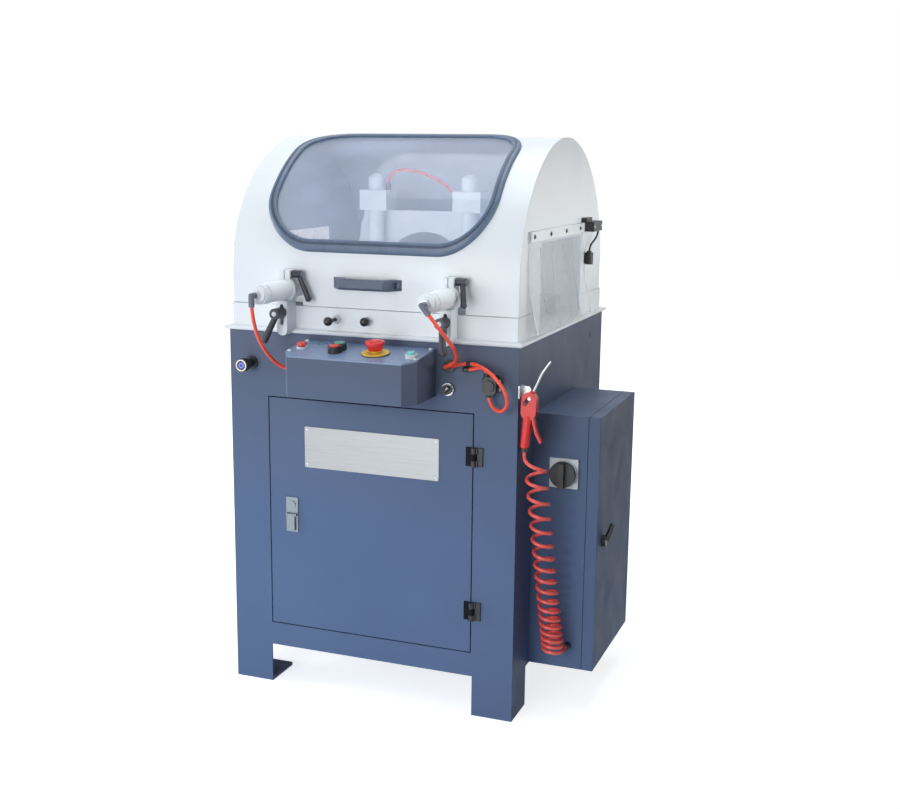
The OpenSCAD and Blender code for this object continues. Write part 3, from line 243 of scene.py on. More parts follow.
def startFinish(name):
    # material with one shader, and its Object coordinates
    finish = bpy.data.materials.new(name)
    finish.use_nodes = True
    tree = finish.node_tree
    tree.nodes.clear()
    out = tree.nodes.new("ShaderNodeOutputMaterial")
    shader = tree.nodes.new("ShaderNodeBsdfPrincipled")
    tree.links.new(shader.outputs[0], out.inputs[0])
    coords = tree.nodes.new("ShaderNodeTexCoord")
    return finish, tree, shader, coords.outputs["Object"]


def noiseOn(tree, coords, scale, detail=3.0, rough=0.5, stretch=None):
    # noise on the coordinates, closer along the axes with a larger stretch
    noise = tree.nodes.new("ShaderNodeTexNoise")
    noise.inputs["Scale"].default_value = scale
    noise.inputs["Detail"].default_value = detail
    noise.inputs["Roughness"].default_value = rough
    if stretch:
        mapping = tree.nodes.new("ShaderNodeMapping")
        mapping.inputs["Scale"].default_value = stretch
        tree.links.new(coords, mapping.inputs["Vector"])
        coords = mapping.outputs[0]
    tree.links.new(coords, noise.inputs["Vector"])
    return noise.outputs["Fac"]


def ranged(tree, value, low, high, fromLow=0.3, fromHigh=0.7):
    # a value carried from one range to another
    band = tree.nodes.new("ShaderNodeMapRange")
    for key, number in (("From Min", fromLow), ("From Max", fromHigh), ("To Min", low), ("To Max", high)):
        band.inputs[key].default_value = number
    tree.links.new(value, band.inputs["Value"])
    return band.outputs["Result"]


def mixed(tree, factor, first, second):
    # the two colours are numbers or links
    mix = tree.nodes.new("ShaderNodeMix")
    mix.data_type = "RGBA"
    tree.links.new(factor, mix.inputs["Factor"])
    sockets = [s for s in mix.inputs if s.type == "RGBA"]
    for socket, colour in zip(sockets, (first, second)):
        if isinstance(colour, tuple):
            socket.default_value = colour
        else:
            tree.links.new(colour, socket)
    return [s for s in mix.outputs if s.type == "RGBA"][0]


def varied(tree, pattern, colour, low, high):
    # a colour between two shades of itself, after a pattern
    return mixed(tree, ranged(tree, pattern, 0, 1), shaded(colour, low), shaded(colour, high))


def roughened(tree, shader, pattern, rough, less, more):
    # roughness a little below or above the given one, after a pattern
    tree.links.new(ranged(tree, pattern, rough - less, rough + more), shader.inputs["Roughness"])


def bumped(tree, shader, height, strength, distance, edge=0.0):
    bump = tree.nodes.new("ShaderNodeBump")
    bump.inputs["Strength"].default_value = strength
    bump.inputs["Distance"].default_value = distance
    tree.links.new(height, bump.inputs["Height"])
    if edge:  # softened edges in the shading
        bevel = tree.nodes.new("ShaderNodeBevel")
        bevel.samples = 4
        bevel.inputs["Radius"].default_value = edge
        tree.links.new(bevel.outputs[0], bump.inputs["Normal"])
    tree.links.new(bump.outputs[0], shader.inputs["Normal"])


def patchy(tree, coords, colour, patch):
    # broad unevenness in tone; a pair of colours runs from the first below to the second above, as painted floor light
    broad = ranged(tree, noiseOn(tree, coords, 3.2, detail=4), 0, 1)
    if len(colour) > 2:
        return mixed(tree, broad, shaded(colour, 1 - patch), shaded(colour, 1 + patch))
    split = tree.nodes.new("ShaderNodeSeparateXYZ")
    tree.links.new(coords, split.inputs[0])
    # painted floor light: the lower colour up to 0.42 m, blended into the upper by 0.8 m
    height = ranged(tree, split.outputs["Z"], 0, 1, fromLow=0.42, fromHigh=0.8)
    return mixed(tree, height, *(mixed(tree, broad, shaded(c, 1 - patch), shaded(c, 1 + patch)) for c in colour))


def enamelled(tree, shader, coords, base, rough, sheen, peel=260, peelDepth=0.12, edge=0.0015):
    # sprayed paint: fine orange peel and broad unevenness in sheen
    tree.links.new(base, shader.inputs["Base Color"])
    roughened(tree, shader, noiseOn(tree, coords, 14, detail=5), rough, less=0.05, more=0.08)
    shader.inputs["Specular IOR Level"].default_value = sheen
    bumped(tree, shader, noiseOn(tree, coords, peel, detail=2), peelDepth, distance=0.0004, edge=edge)


def paintFinish(name, colour, rough=0.38, sheen=0.5, patch=0.05, **peeled):
    finish, tree, shader, coords = startFinish(name)
    enamelled(tree, shader, coords, patchy(tree, coords, colour, patch), rough, sheen, **peeled)
    return finish


def twoTone(name, first, second, limit, rough, sheen, patches=(0.08, 0.05)):
    # first colour in front of the limit on Y, second behind it
    finish, tree, shader, coords = startFinish(name)
    split = tree.nodes.new("ShaderNodeSeparateXYZ")
    tree.links.new(coords, split.inputs[0])
    step = tree.nodes.new("ShaderNodeMath")
    step.operation = "GREATER_THAN"
    step.inputs[1].default_value = limit
    tree.links.new(split.outputs["Y"], step.inputs[0])
    a, b = (patchy(tree, coords, colour, patch) for colour, patch in zip((first, second), patches))
    enamelled(tree, shader, coords, mixed(tree, step.outputs[0], a, b), rough, sheen)
    return finish


def plasticFinish(name, colour, rough=0.45, grain=900, grainDepth=0.25, edge=0.0006):
    # moulded plastic: fine spark grain and slight change of tone
    finish, tree, shader, coords = startFinish(name)
    base = varied(tree, noiseOn(tree, coords, 40), colour, low=0.88, high=1.1)
    tree.links.new(base, shader.inputs["Base Color"])
    roughened(tree, shader, noiseOn(tree, coords, 120), rough, less=0.06, more=0.08)
    bumped(tree, shader, noiseOn(tree, coords, grain, detail=2), grainDepth, distance=0.0002, edge=edge)
    return finish


def metalFinish(name, colour, rough=0.28, stretch=(30, 900, 900), depth=0.12, edge=0.0005):
    # machined metal: long fine streaks along one axis in tone, sheen and relief
    finish, tree, shader, coords = startFinish(name)
    streak = noiseOn(tree, coords, 1.0, detail=4, rough=0.6, stretch=stretch)
    tree.links.new(varied(tree, streak, colour, low=0.82, high=1.08), shader.inputs["Base Color"])
    roughened(tree, shader, streak, rough, less=0.06, more=0.12)
    shader.inputs["Metallic"].default_value = 1.0
    bumped(tree, shader, streak, depth, distance=0.0003, edge=edge)
    return finish


def clearFinish(name, colour, alpha, rough, wave, sheen):
    # clear sheet: tinted, part see-through, with faint waves and smears in the sheen
    finish, tree, shader, coords = startFinish(name)
    smear = noiseOn(tree, coords, 6, detail=4, rough=0.55)
    tree.links.new(varied(tree, smear, colour, low=0.94, high=1.04), shader.inputs["Base Color"])
    tree.links.new(ranged(tree, smear, alpha - 0.05, alpha + 0.06), shader.inputs["Alpha"])
    roughened(tree, shader, noiseOn(tree, coords, 20, detail=4), rough, less=0, more=0.08)
    shader.inputs["Specular IOR Level"].default_value = sheen
    bumped(tree, shader, noiseOn(tree, coords, wave, detail=1), strength=0.08, distance=0.002)
    return finish


colours = {
    # cabinet: a bluer, lighter lower colour and a greyer upper one, painted floor light on the cabinet and door
    "cabinet": (tone(96, 116, 151), tone(96, 106, 126)), "lid": tone(116, 136, 168), "handle": tone(70, 82, 102),
    "white": tone(226, 231, 235), "cream": tone(230, 235, 239), "pale": tone(206, 210, 214),
    "grey": tone(104, 112, 128), "elbow": tone(92, 98, 112), "lever": tone(36, 41, 50), "black": tone(25, 26, 30),
    "red": tone(216, 40, 36), "gun": tone(224, 44, 38), "hose": tone(248, 80, 52), "coil": tone(255, 98, 90),
    "yellow": tone(226, 190, 60), "green": tone(70, 160, 140), "teal": tone(110, 200, 200),
    "blue": tone(60, 66, 160), "violet": tone(150, 156, 232), "navy": tone(58, 70, 92), "gasket": tone(86, 104, 128),
    "steel": tone(186, 188, 192), "latch": tone(126, 134, 140), "alloy": tone(204, 206, 210),
    # window sheet: its own pale tint, lightened to a bluish-white veil as painted reflection
    "bare": tone(150, 152, 152), "brass": tone(214, 206, 172), "glassTintAndReflection": tone(204, 218, 250),
    "curtain": tone(230, 237, 243),
}
# Y where two finishes meet on one solid: behind the elbows, and between the hinge leaves and the door
elbowLimit, hingeLimit = inFrame([[0, -120, 0], [0, -0.4, 0]])[:, 1]
cabinetGloss = {"rough": 0.46, "sheen": 0.06}
finishes = {
    # cabinet and door paints carry the cabinet pair's painted floor light
    "cabinetPaint": paintFinish("cabinetPaint", colours["cabinet"], **cabinetGloss),
    # lid: the cabinet's blue-grey painted lighter, as painted top light; its paint is also smoother, less rough and
    # glossier
    "lidPaintTopLit": paintFinish("lidPaintTopLit", colours["lid"], rough=0.3, sheen=0.6),
    "fittingPlastic": twoTone("fittingPlastic", colours["elbow"], colours["black"], elbowLimit, rough=0.4, sheen=0.5),
    "doorPaint": twoTone("doorPaint", colours["black"], colours["cabinet"], hingeLimit, **cabinetGloss),
    "whitePaint": paintFinish("whitePaint", colours["white"], rough=0.34, patch=0.025),
    "creamPaint": paintFinish("creamPaint", colours["cream"], rough=0.45, peel=200, peelDepth=0.14, patch=0.03),
    "blackPaint": paintFinish("blackPaint", colours["black"], rough=0.42),
    "blackPlastic": plasticFinish("blackPlastic", colours["black"]),
    "leverPlastic": plasticFinish("leverPlastic", colours["lever"], rough=0.4),
    "handlePlastic": plasticFinish("handlePlastic", colours["handle"], rough=0.42),
    "greyPlastic": plasticFinish("greyPlastic", colours["grey"], rough=0.4),
    "palePlastic": plasticFinish("palePlastic", colours["pale"], rough=0.35),
    "redPlastic": plasticFinish("redPlastic", colours["red"], rough=0.28, grainDepth=0.08),
    "gunPlastic": plasticFinish("gunPlastic", colours["gun"], rough=0.32, grainDepth=0.1),
    "yellowPlastic": plasticFinish("yellowPlastic", colours["yellow"], rough=0.35, grainDepth=0.08),
    "greenPlastic": plasticFinish("greenPlastic", colours["green"], rough=0.28, grainDepth=0.08),
    "tealPlastic": plasticFinish("tealPlastic", colours["teal"], rough=0.2, grainDepth=0.05),
    "bluePlastic": plasticFinish("bluePlastic", colours["blue"], rough=0.25, grainDepth=0.05),
    "violetPlastic": plasticFinish("violetPlastic", colours["violet"], rough=0.25, grainDepth=0.05),
    "gasketRubber": plasticFinish("gasketRubber", colours["gasket"], rough=0.4, grain=700, grainDepth=0.12),
    "navyRubber": plasticFinish("navyRubber", colours["navy"], rough=0.5, grain=700),
    "blackRubber": plasticFinish("blackRubber", colours["black"], rough=0.62, grain=700),
    "hoseSkin": plasticFinish("hoseSkin", colours["hose"], rough=0.3, grainDepth=0.05, edge=0.0),
    "coilSkin": plasticFinish("coilSkin", colours["coil"], rough=0.26, grainDepth=0.05, edge=0.0),
    "groundSteel": metalFinish("groundSteel", colours["steel"]),
    "latchSteel": metalFinish("latchSteel", colours["latch"], rough=0.4, stretch=(60, 900, 900)),
    "turnedSteel": metalFinish("turnedSteel", colours["steel"], rough=0.2, stretch=(700, 700, 40)),
    "alloy": metalFinish("alloy", colours["alloy"], rough=0.34, stretch=(300, 300, 300), depth=0.06),
    "paleBrass": metalFinish("paleBrass", colours["brass"], rough=0.3, stretch=(400, 400, 400), depth=0.05),
    "brushedPlate": metalFinish("brushedPlate", colours["bare"], rough=0.42, stretch=(12, 900, 1400), depth=0.1),
    # window: its own tint, with a bluish-white veil over what lies behind as painted reflection
    "windowSheet": clearFinish("windowSheet", colours["glassTintAndReflection"], alpha=0.21, rough=0.04, wave=5, sheen=0.9),
    "curtainSheet": clearFinish("curtainSheet", colours["curtain"], alpha=0.3, rough=0.1, wave=14, sheen=0.5),
}
nodeFinish = {
    "cabinetPaint": ["cabinet_shell", "control_box", "ebox_shell", "ebox_door", "saw_arm"],
    "lidPaintTopLit": ["control_lid"],
    "doorPaint": ["cabinet_door"],
    "whitePaint": ["base_tray", "hood_shell", "clamp_posts", "clamp_bridge"],
    "creamPaint": ["air_cylinders", "saw_motor"],
    "blackPaint": ["door_hinge_leaves", "feed_valve_base"],
    "fittingPlastic": ["air_fittings"],
    "blackPlastic": ["twin_button_body", "selector_knob", "left_pull_knob", "right_pull_knob",
                     "flow_regulator", "interlock_switch", "ebox_latch", "isolator_knob"],
    "leverPlastic": ["left_upper_lever", "right_upper_lever", "left_lower_lever", "right_lower_lever", "feed_knob"],
    "handlePlastic": ["hood_handle"],
    "palePlastic": ["isolator_plate"],
    "redPlastic": ["estop_button", "red_button", "pilot_button"],
    "gunPlastic": ["gun_body", "gun_trigger"],
    "yellowPlastic": ["estop_collar"],
    "greenPlastic": ["green_button"],
    "tealPlastic": ["start_button"],
    "groundSteel": ["work_table", "saw_blade", "selector_collar", "gun_hook"],
    "latchSteel": ["door_latch", "latch_paddle"],
    "turnedSteel": ["left_clamp_rod", "right_clamp_rod", "left_top_rod", "right_top_rod", "gun_nozzle"],
    "windowSheet": ["hood_window"],
    "curtainSheet": ["curtains"],
}
for finishName, names in nodeFinish.items():
    for nodeName in names:
        slots = nodes[nodeName].data.materials
        slots.clear()
        slots.append(finishes[finishName])
print("finishes on the solids")

# hoses and the cable, near the routes of the part's source
elbowSpec = {"left": [155.0, -170, 950], "right": [545.0, -170, 950], "turn": 40, "reach": 20}
elbowTurn = math.radians(elbowSpec["turn"])
leftLead, rightLead = np.array([[0.0, 0, -1], [math.sin(elbowTurn), 0, -math.cos(elbowTurn)]])
rightEnd = np.array(elbowSpec["right"]) + elbowSpec["reach"] * rightLead
hoseSpec = {"radius": 4.0, "sides": 20, "steps": 8, "spacing": 7.0, "points": (16, 40), "give": 4.0}
hoses = {
    "leftClampHose": {"node": "left_clamp_hose", "start": [155, -170, 930], "lead": [0, 0, -16],
                      "end": [186.01, -50, 775], "tail": [-9, 0, 0],
                      "bows": [[-5, -7, -2], [-11, -6, -8], [-15, -3, -12], [-16, 3, -17], [-12, 12, -21],
                               [-6, 13, -17]]},
    "rightClampHose": {"node": "right_clamp_hose", "start": rightEnd, "lead": 12 * rightLead,
                       "end": [535.99, -6, 800], "tail": [0, -18, 0],
                       "bows": [[17, -1, -10], [26, 10, -18], [33, 22, -24], [33, 29, -28], [22, 24, -24],
                                [8, 11, -14]]},
    "regulatorLoopHose": {"node": "regulator_loop_hose", "start": [549.99, -6, 800], "lead": [0, -6, 0],
                          "end": [640, -20, 742.5], "tail": [0, 0, -9],
                          "bows": [[2, -4, 8], [18, -4, 22], [30, -7, 28], [41, -14, 30], [55, -25, 28],
                                   [67, -29, 22], [77, -28, 11], [85, -26, -5], [84, -25, -20], [71, -20, -31],
                                   [50, -15, -35], [29, -8, -28], [11, -2, -14]]},
    "regulatorFeedHose": {"node": "regulator_feed_hose", "start": [592.1, -14, 798], "lead": [8, 0, 0],
                          "end": [634, -20, 794.5], "tail": [0, 0, 6], "give": 1.5, "bows": [[3, 0, 5], [4, -1, 4]]},
    "bridgeHose": {"node": "bridge_hose", "start": [252, 335, 1180], "lead": [0, 0, 12],
                   "end": [420, 369, 1100], "tail": [0, 14, 0],
                   "bows": [[-10, -2, 25], [-8, 0, 40], [3, 9, 45], [16, 24, 44], [27, 36, 39], [30, 45, 29],
                            [27, 40, 15], [18, 20, 0]]},
    "interlockCable": {"node": "interlock_cable", "start": [710, 600, 1079], "lead": [0, 8, 0],
                       "end": [705, 545, 1018], "tail": [0, 0, 6], "radius": 2.5, "body": "hood",
                       "finish": "blackRubber", "slot": "black_cable",
                       "bows": [[2, 16, -2], [1, 17, -11], [-2, 6, -14], [-2, -6, -8], [-1, -8, -3]]},
}
bandSpec = {"at": [597, -21, 812], "half": 5, "grip": 0.2, "thick": 1.2}
coilSpec = {"turns": 17.8, "ease": 0.35, "dip": 4.0, "drop": 8.0, "even": 0.45, "radius": 22.0, "turnOut": 10,
            "perTurn": 40, "sides": 16, "gun": [713.0, 10.0, 624.0], "low": [770.0, 80.0, 152.0],
            "end": [792.0, 108.0, 152.0]}


def coilPath(spec):
    # eased helix: its axis runs down from the gun, drawn out at first and closer below
    turns, ease, radius = spec["turns"], spec["ease"], spec["radius"]
    begin = -360 * (turns - ease)
    top = np.array(spec["gun"]) - [radius * math.cos(math.radians(begin)), radius * math.sin(math.radians(begin)),
                                    spec["drop"]]
    low = np.array(spec["low"])
    t = np.linspace(0, turns, round(spec["perTurn"] * turns) + 1)
    drop = spec["even"] * t / turns + (1 - spec["even"]) * (1 - (1 - t / turns) ** 2)
    lead = 1 - np.exp(-t / ease)
    angle = np.radians(begin + 360 * (t - ease * lead))
    run = (top + drop[:, None] * (low + [0, 0, spec["dip"]] - top)
           + np.stack([radius * np.cos(angle), radius * np.sin(angle), -spec["dip"] * lead], axis=-1))
    return np.concatenate([[spec["gun"]], run, [low + [radius, spec["turnOut"], 0]], [spec["end"]]])


def lengthOf(path):
    return float(np.linalg.norm(np.diff(path, axis=0), axis=1).sum())


def makeCord(name, path, radius, sides, finish, node, body):
    piece = makePiece(name, [tubeGrid(path, radius, sides)], finishes[finish], body, sharp=60)
    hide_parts(node)


def bandOn(path, spec, radius):
    # short collar round a tube at the path point nearest to the given one
    k = int(np.argmin(np.linalg.norm(path - spec["at"], axis=1)))
    half, inner, outer = spec["half"], radius - spec["grip"], radius + spec["thick"]
    rows = [(-half, inner), (-half, outer), (half, outer), (half, inner), (-half, inner)]
    return turned(rows, path[k], path[k + 1] - path[k - 1], count=32)


for name, spec in hoses.items():
    route = smoothRoute(layRoute(spec["start"], spec["lead"], spec["end"], spec["tail"], spec["bows"]),
                        hoseSpec["steps"])
    count = int(np.clip(lengthOf(route) / hoseSpec["spacing"], *hoseSpec["points"]))
    path = relaxed(spaced(route, count), spec.get("give", hoseSpec["give"]))
    extras = []
    if name == "regulatorLoopHose":
        extras = [makePiece("loopHoseBand", [bandOn(path, bandSpec, hoseSpec["radius"])], finishes["blackRubber"],
                            "frame")]
    makeCord(name, path, spec.get("radius", hoseSpec["radius"]), hoseSpec["sides"], spec.get("finish", "hoseSkin"),
             spec["node"], spec.get("body", "frame"))
makeCord("coilHose", coilPath(coilSpec), hoseSpec["radius"], coilSpec["sides"], "coilSkin",
         "coil_hose", "frame")
print("hoses laid")

# window gasket: a grooved rubber section carried round the window, laid on the arch of the hood
hoodSpec = {"y": 356.0, "spring": 975.0, "offset": 58.0, "shoulder": 288.0, "rise": 316.0}
windowSpec = {"x": 350.0, "halfU": 277.0, "halfV": 203.102, "radius": 125.0, "tilt": 39.0, "back": 25.0}


def onHood(u, v, height):
    # point over the window plane (u across, v up its tilt), met by the hood's arch grown by height
    tilt = math.radians(windowSpec["tilt"])
    along = np.array([math.cos(tilt), math.sin(tilt)])
    out = np.array([-math.sin(tilt), math.cos(tilt)])
    c, r1, rise = hoodSpec["offset"], hoodSpec["shoulder"], hoodSpec["rise"]
    r2 = (c * c + rise * rise - r1 * r1) / (2 * (rise - r1))
    low = rise - r2
    w = v - windowSpec["back"]

    def reach(centre, radius):
        n = centre @ out + np.sqrt(np.maximum((radius + height) ** 2 - (w - centre @ along) ** 2, 0))
        return w[..., None] * along + n[..., None] * out

    crown = reach(np.array([0.0, low]), r2)
    front = reach(np.array([-c, 0.0]), r1)
    back = reach(np.array([c, 0.0]), r1)
    limit = c * (crown[..., 1] - low) / -low
    spot = np.where((crown[..., 0] < -limit)[..., None], front,
                    np.where((crown[..., 0] > limit)[..., None], back, crown))
    return np.stack([windowSpec["x"] + u, hoodSpec["y"] + spot[..., 0], hoodSpec["spring"] + spot[..., 1]], axis=-1)


def gasketGrid(section):
    # section rows are inset from the window's outline and height over the hood, closed on themselves
    rows = []
    for inset, height in section:
        ring = roundedOutline(windowSpec["halfU"] - inset, windowSpec["halfV"] - inset, windowSpec["radius"] - inset,
                              perCorner=20, alongU=10, alongV=24)
        rows.append(onHood(ring[:, 0], ring[:, 1], np.full(len(ring), float(height))))
    return np.stack(rows)


gasketSection = [(0, -0.5), (0, 2.6), (0.8, 4.6), (2.4, 6.2), (4.8, 7.3), (8.0, 7.9), (8.6, 6.2), (12.4, 6.2),
                 (13.0, 7.9), (16.2, 7.3), (18.6, 6.2), (20.2, 4.6), (21, 2.6), (21, -0.5), (0, -0.5)]
fillerSection = [(8.5, 5.8), (8.5, 7.4), (10.5, 8.0), (12.5, 7.4), (12.5, 5.8), (8.5, 5.8)]
gasket = makePiece("gasketProfile", [gasketGrid(gasketSection)], finishes["gasketRubber"], "hood", sharp=50)
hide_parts("window_gasket")
makePiece("gasketFiller", [gasketGrid(fillerSection)], finishes["navyRubber"], "hood", sharp=50)
print("gasket laid on the hood")

# blank plate on the door, with its rivets
plateSpec = {"x": (190.0, 520.0), "z": (540.0, 636.0), "thick": 1.2, "corner": 3, "inset": 7}
plateMid = [sum(plateSpec["x"]) / 2, 0, sum(plateSpec["z"]) / 2]
plateHalf = [(plateSpec["x"][1] - plateSpec["x"][0]) / 2, (plateSpec["z"][1] - plateSpec["z"][0]) / 2]
rivetOut = [half - plateSpec["inset"] for half in plateHalf]
makePiece("doorPlate", [slab(*plateHalf, plateSpec["corner"], plateSpec["thick"], plateMid, toFront)],
          finishes["brushedPlate"], "cabinet_door")
rivets = [domeScrew(2.4, 1.2, [plateMid[0] + sx * rivetOut[0], -plateSpec["thick"], plateMid[2] + sz * rivetOut[1]],
                    toFront) for sx in (-1, 1) for sz in (-1, 1)]
makePiece("doorPlateRivets", rivets, finishes["alloy"], "cabinet_door")

# control panel: screws, bezel rings and the rim of the emergency disc
panelSpec = {"rise": 16.0, "depth": 139.0, "front": 822.0, "screws": [(206, -100), (503, -100), (503, -14), (206, -14)],
             "pilot": (223.891, -73.67), "start": (490.115, -89.933), "estop": (403.033, -79.925)}
panelNormal = np.array([0, -panelSpec["rise"], panelSpec["depth"]]) / math.hypot(panelSpec["rise"], panelSpec["depth"])


def onPanel(x, y):
    # point on the sloping lid at the given place
    return np.array([x, y, panelSpec["front"] + (y + panelSpec["depth"]) * panelSpec["rise"] / panelSpec["depth"]])


makePiece("panelScrews", [domeScrew(4.2, 2.6, onPanel(*p), panelNormal) for p in panelSpec["screws"]],
          finishes["whitePaint"], "frame")
makePiece("startBezel", [ringOf(9.4, 13.4, 8.6, onPanel(*panelSpec["start"]), panelNormal)], finishes["palePlastic"],
          "frame")
makePiece("pilotBezel", [ringOf(8.4, 12.4, 4.4, onPanel(*panelSpec["pilot"]), panelNormal)],
          finishes["palePlastic"], "frame")
makePiece("estopRim", [ringOf(29.6, 31, 1.8, onPanel(*panelSpec["estop"]), panelNormal, 0.3, 64)],
          finishes["blackPlastic"], "frame")

# selector pointer, feed knob face and its flange screws, caps of the levers
selectorSpec = {"face": [541.1, -26, 750], "out": 6.5, "dots": (-2, 0, 2)}
pointerAxis = np.array([math.sqrt(0.5), 0, math.sqrt(0.5)])
pointerAt = np.array(selectorSpec["face"]) + selectorSpec["out"] * pointerAxis
makePiece("selectorPointer", [turned([(0, 0), (0, 1.6), (0.4, 1.6), (0.5, 1.4), (0.5, 0)],
                                     pointerAt + d * pointerAxis, toFront, 16) for d in selectorSpec["dots"]],
          finishes["palePlastic"], "selector_knob")
feedSpec = {"face": [56, -48, 775], "flange": [56, -4, 775], "screws": (-12.8, 12.8)}
makePiece("feedKnobRing", [ringOf(10.4, 13.6, 2.4, feedSpec["face"], toFront, 0.8)], finishes["paleBrass"],
          "feed_knob")
makePiece("feedKnobFace", [turned([(0, 0), (0, 10.6), (1.0, 10.6), (1.2, 10.2), (1.2, 0)], feedSpec["face"],
                                  toFront, 48)],
          finishes["bluePlastic"], "feed_knob")
makePiece("feedKnobMark", [ringOf(3.2, 6.2, 1.6, feedSpec["face"], toFront, 0.3)], finishes["violetPlastic"],
          "feed_knob")
feedScrews = [domeScrew(2.2, 1.6, np.array(feedSpec["flange"]) + [dx, 0, 0], toFront) for dx in feedSpec["screws"]]
makePiece("feedFlangeScrews", feedScrews, finishes["blackPlastic"], "frame")
leverSpec = {"x": {"left": 155, "right": 545}, "cap": [0, -72, 900], "hub": [36, -8, 984]}
for side, x in leverSpec["x"].items():
    makePiece(side + "LeverCap", [turned([(0, 0), (0, 5.6), (1.2, 5.4), (1.9, 3.4), (2.0, 0)],
                                         np.array(leverSpec["cap"]) + [x, 0, 0], toFront, 32)],
              finishes["palePlastic"], side + "_lower_lever")
    makePiece(side + "HubCap", [turned([(0, 0), (0, 6.4), (1.0, 6.2), (1.6, 4.0), (1.6, 0)],
                                       np.array(leverSpec["hub"]) + [x, 0, 0], toRight, 32)],
              finishes["greyPlastic"], side + "_upper_lever")
print("panel and knobs dressed")

# air fittings: hexagon nuts and release collars, regulator caps, gun ring
fittingSpec = {"nutBack": 14.8, "caps": [663, -16, 768.5], "capRise": (-8.5, 8.5), "gunEnd": [713, 10, 624.5]}
nutRows = [(0, 6), (0, 9.6), (0.6, 10.2), (6.4, 10.2), (7, 9.6), (7, 6), (0, 6)]
nuts, collars = [], []
for side, lead in (("left", leftLead), ("right", rightLead)):
    elbow = np.array(elbowSpec[side])
    nuts.append(lofted(circle(6), nutRows, elbow + [0, fittingSpec["nutBack"], 0], [0, 1, 0]))
    collars.append(ringOf(4.1, 6.4, 4.2, elbow + elbowSpec["reach"] * lead, lead, 0.5, 32))
makePiece("elbowNuts", nuts, finishes["alloy"], "frame", sharp=25)
makePiece("elbowCollars", collars, finishes["greyPlastic"], "frame")
capRows = [(0, 0), (0, 4.4), (1.0, 4.2), (1.4, 3.0), (1.4, 0)]
regulatorCaps = [turned(capRows, np.array(fittingSpec["caps"]) + [0, 0, dz], toRight, 32)
                 for dz in fittingSpec["capRise"]]
makePiece("regulatorCaps", regulatorCaps, finishes["palePlastic"], "frame")
makePiece("gunRing", [ringOf(7.8, 9.0, 8, fittingSpec["gunEnd"], [0, 0, 1], 0.5, 40)], finishes["blackPlastic"],
          "frame")

# bars and screws that hold the curtains, and the screws of the switch
curtainSpec = {"half": (222.5, 11.5), "corner": 2, "thick": 2.2, "middle": 293.5, "height": 1077.5,
               "screws": (94, 220, 348, 474)}
curtainEnds = {"right": (697, 699, toRight), "left": (3, 1, [-1, 0, 0])}  # X of bar and of screws, outward way
curtainBars = [slab(*curtainSpec["half"], curtainSpec["corner"], curtainSpec["thick"],
                    [bar, curtainSpec["middle"], curtainSpec["height"]], out)
               for bar, head, out in curtainEnds.values()]
makePiece("curtainBars", curtainBars, finishes["whitePaint"], "hood")
curtainScrews = [domeScrew(5.2, 3, [head, y, curtainSpec["height"]], out)
                 for bar, head, out in curtainEnds.values() for y in curtainSpec["screws"]]
makePiece("curtainScrews", curtainScrews, finishes["blackPlastic"], "hood")
switchSpec = {"face": 722, "height": 1079, "screws": (526, 592)}
switchScrews = [domeScrew(2.6, 1.4, [switchSpec["face"], y, switchSpec["height"]], toRight)
                for y in switchSpec["screws"]]
makePiece("switchScrews", switchScrews, finishes["alloy"], "hood")
print("small fixings in place")


# stage: floor, world and lamps
floorSpec = {"half": 12.0, "bright": (0.8, 0.87, 0.97, 1), "dark": (0.2, 0.2, 0.2, 1), "darkens": (0.0, 0.8),
             "rough": 0.9, "glow": (0.72, 1.0), "glowsOver": (0.7, 1.6), "sideGlow": (0.72, 0.92)}
worldSpec = {"tint": (0.93, 0.96, 1.0, 1), "strength": (0.4, 0.06), "dimsOver": (-0.1, 0.6)}


def seenRays(tree):
    # one for rays from the camera, off a glossy face or through clear sheet, else nought
    rays = tree.nodes.new("ShaderNodeLightPath")
    found = rays.outputs["Is Camera Ray"]
    for kind in ("Is Glossy Ray", "Is Transmission Ray"):
        most = tree.nodes.new("ShaderNodeMath")
        most.operation = "MAXIMUM"
        tree.links.new(found, most.inputs[0])
        tree.links.new(rays.outputs[kind], most.inputs[1])
        found = most.outputs[0]
    return found


def makeFloor(spec):
    finish, tree, shader, coords = startFinish("floorFinish")
    split = tree.nodes.new("ShaderNodeSeparateXYZ")  # bright in front and on the left, dark on the right
    tree.links.new(coords, split.inputs[0])
    side = ranged(tree, split.outputs["X"], 0, 1, *spec["darkens"])
    tree.links.new(mixed(tree, side, spec["bright"], spec["dark"]), shader.inputs["Base Color"])
    shader.inputs["Roughness"].default_value = spec["rough"]
    shader.inputs["Specular IOR Level"].default_value = 0.0
    far = tree.nodes.new("ShaderNodeVectorMath")  # distance from the middle of the floor
    far.operation = "LENGTH"
    tree.links.new(coords, far.inputs[0])
    level = tree.nodes.new("ShaderNodeMath")
    level.operation = "MAXIMUM"
    tree.links.new(ranged(tree, far.outputs["Value"], *spec["glow"], *spec["glowsOver"]), level.inputs[0])
    tree.links.new(ranged(tree, side, *spec["sideGlow"], 0, 1), level.inputs[1])
    lift = tree.nodes.new("ShaderNodeMath")
    lift.operation = "MULTIPLY"
    tree.links.new(level.outputs[0], lift.inputs[1])
    tree.links.new(seenRays(tree), lift.inputs[0])
    shader.inputs["Emission Color"].default_value = (1, 1, 1, 1)
    tree.links.new(lift.outputs[0], shader.inputs["Emission Strength"])
    mesh = bpy.data.meshes.new("floor")
    half = spec["half"]
    mesh.from_pydata([(-half, -half, 0), (half, -half, 0), (half, half, 0), (-half, half, 0)], [], [(0, 1, 2, 3)])
    mesh.materials.append(finish)
    floor = bpy.data.objects.new("floor", mesh)
    scene.collection.objects.link(floor)


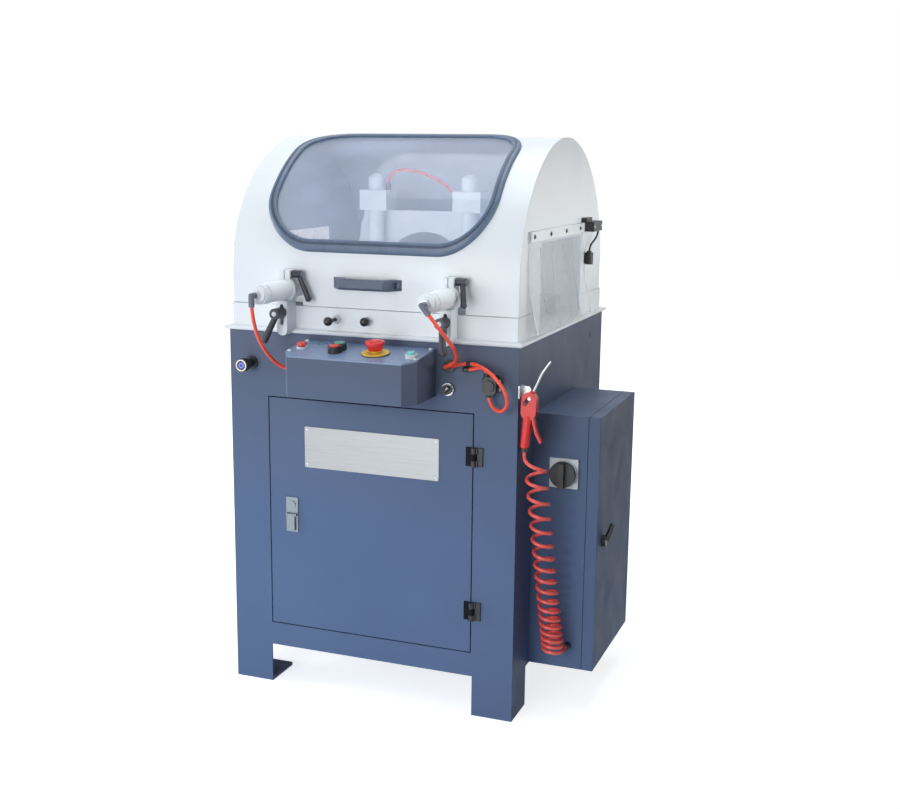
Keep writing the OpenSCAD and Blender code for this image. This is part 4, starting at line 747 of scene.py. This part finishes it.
def makeWorld(spec):
    world = bpy.data.worlds.new("studio")
    scene.world = world
    world.use_nodes = True
    tree = world.node_tree
    tree.nodes.clear()
    out = tree.nodes.new("ShaderNodeOutputWorld")
    lit = tree.nodes.new("ShaderNodeBackground")
    lit.inputs["Color"].default_value = spec["tint"]
    coords = tree.nodes.new("ShaderNodeTexCoord")  # dimmer to the right, where the photo's shade is
    split = tree.nodes.new("ShaderNodeSeparateXYZ")
    tree.links.new(coords.outputs["Generated"], split.inputs[0])
    tree.links.new(ranged(tree, split.outputs["X"], *spec["strength"], *spec["dimsOver"]), lit.inputs["Strength"])
    seen = tree.nodes.new("ShaderNodeBackground")
    seen.inputs["Color"].default_value = (1, 1, 1, 1)
    seen.inputs["Strength"].default_value = 1.0
    mix = tree.nodes.new("ShaderNodeMixShader")
    tree.links.new(seenRays(tree), mix.inputs[0])
    tree.links.new(lit.outputs[0], mix.inputs[1])
    tree.links.new(seen.outputs[0], mix.inputs[2])
    tree.links.new(mix.outputs[0], out.inputs[0])


lamps = {
    "keyLamp": {"place": (-0.5, -3.6, 1.15), "aim": (0, 0, 0.85), "size": 1.8, "power": 58, "tint": (0.97, 0.99, 1.0)},
    "topLamp": {"place": (0.0, 0.3, 3.6), "aim": (0, 0, 0.9), "size": 2.4, "power": 64, "tint": (0.9, 0.95, 1.0)},
    "leftLamp": {"place": (-3.4, -0.9, 1.3), "aim": (0, -0.2, 0.8), "size": 1.2, "power": 40,
                 "tint": (1.0, 0.98, 0.95)},
    "endLamp": {"place": (1.6, 0.08, 1.16), "aim": (0.27, 0.08, 1.07), "size": 1.2, "high": 0.3, "power": 1.3,
                "spread": 36, "tint": (1.0, 0.99, 0.97)},
    "innerLamp": {"place": (-0.08, -0.18, 1.01), "aim": (-0.06, 0.1, 1.08), "size": 0.5, "high": 0.08, "power": 0.36,
                  "tint": (0.95, 0.98, 1.0), "shown": False},
}


def makeLamp(name, spec):
    data = bpy.data.lights.new(name, "AREA")
    data.shape = "RECTANGLE"
    data.size = spec["size"]
    data.size_y = spec.get("high", spec["size"])
    data.energy = spec["power"]
    data.spread = math.radians(spec.get("spread", 180))
    data.color = spec["tint"]
    lamp = bpy.data.objects.new(name, data)
    lamp.location = spec["place"]
    lamp.visible_camera = lamp.visible_glossy = spec.get("shown", True)
    aim = Vector(spec["aim"]) - Vector(spec["place"])
    lamp.rotation_euler = aim.to_track_quat("-Z", "Y").to_euler()
    scene.collection.objects.link(lamp)


makeFloor(floorSpec)
makeWorld(worldSpec)
for name, spec in lamps.items():
    makeLamp(name, spec)
print("stage lit")
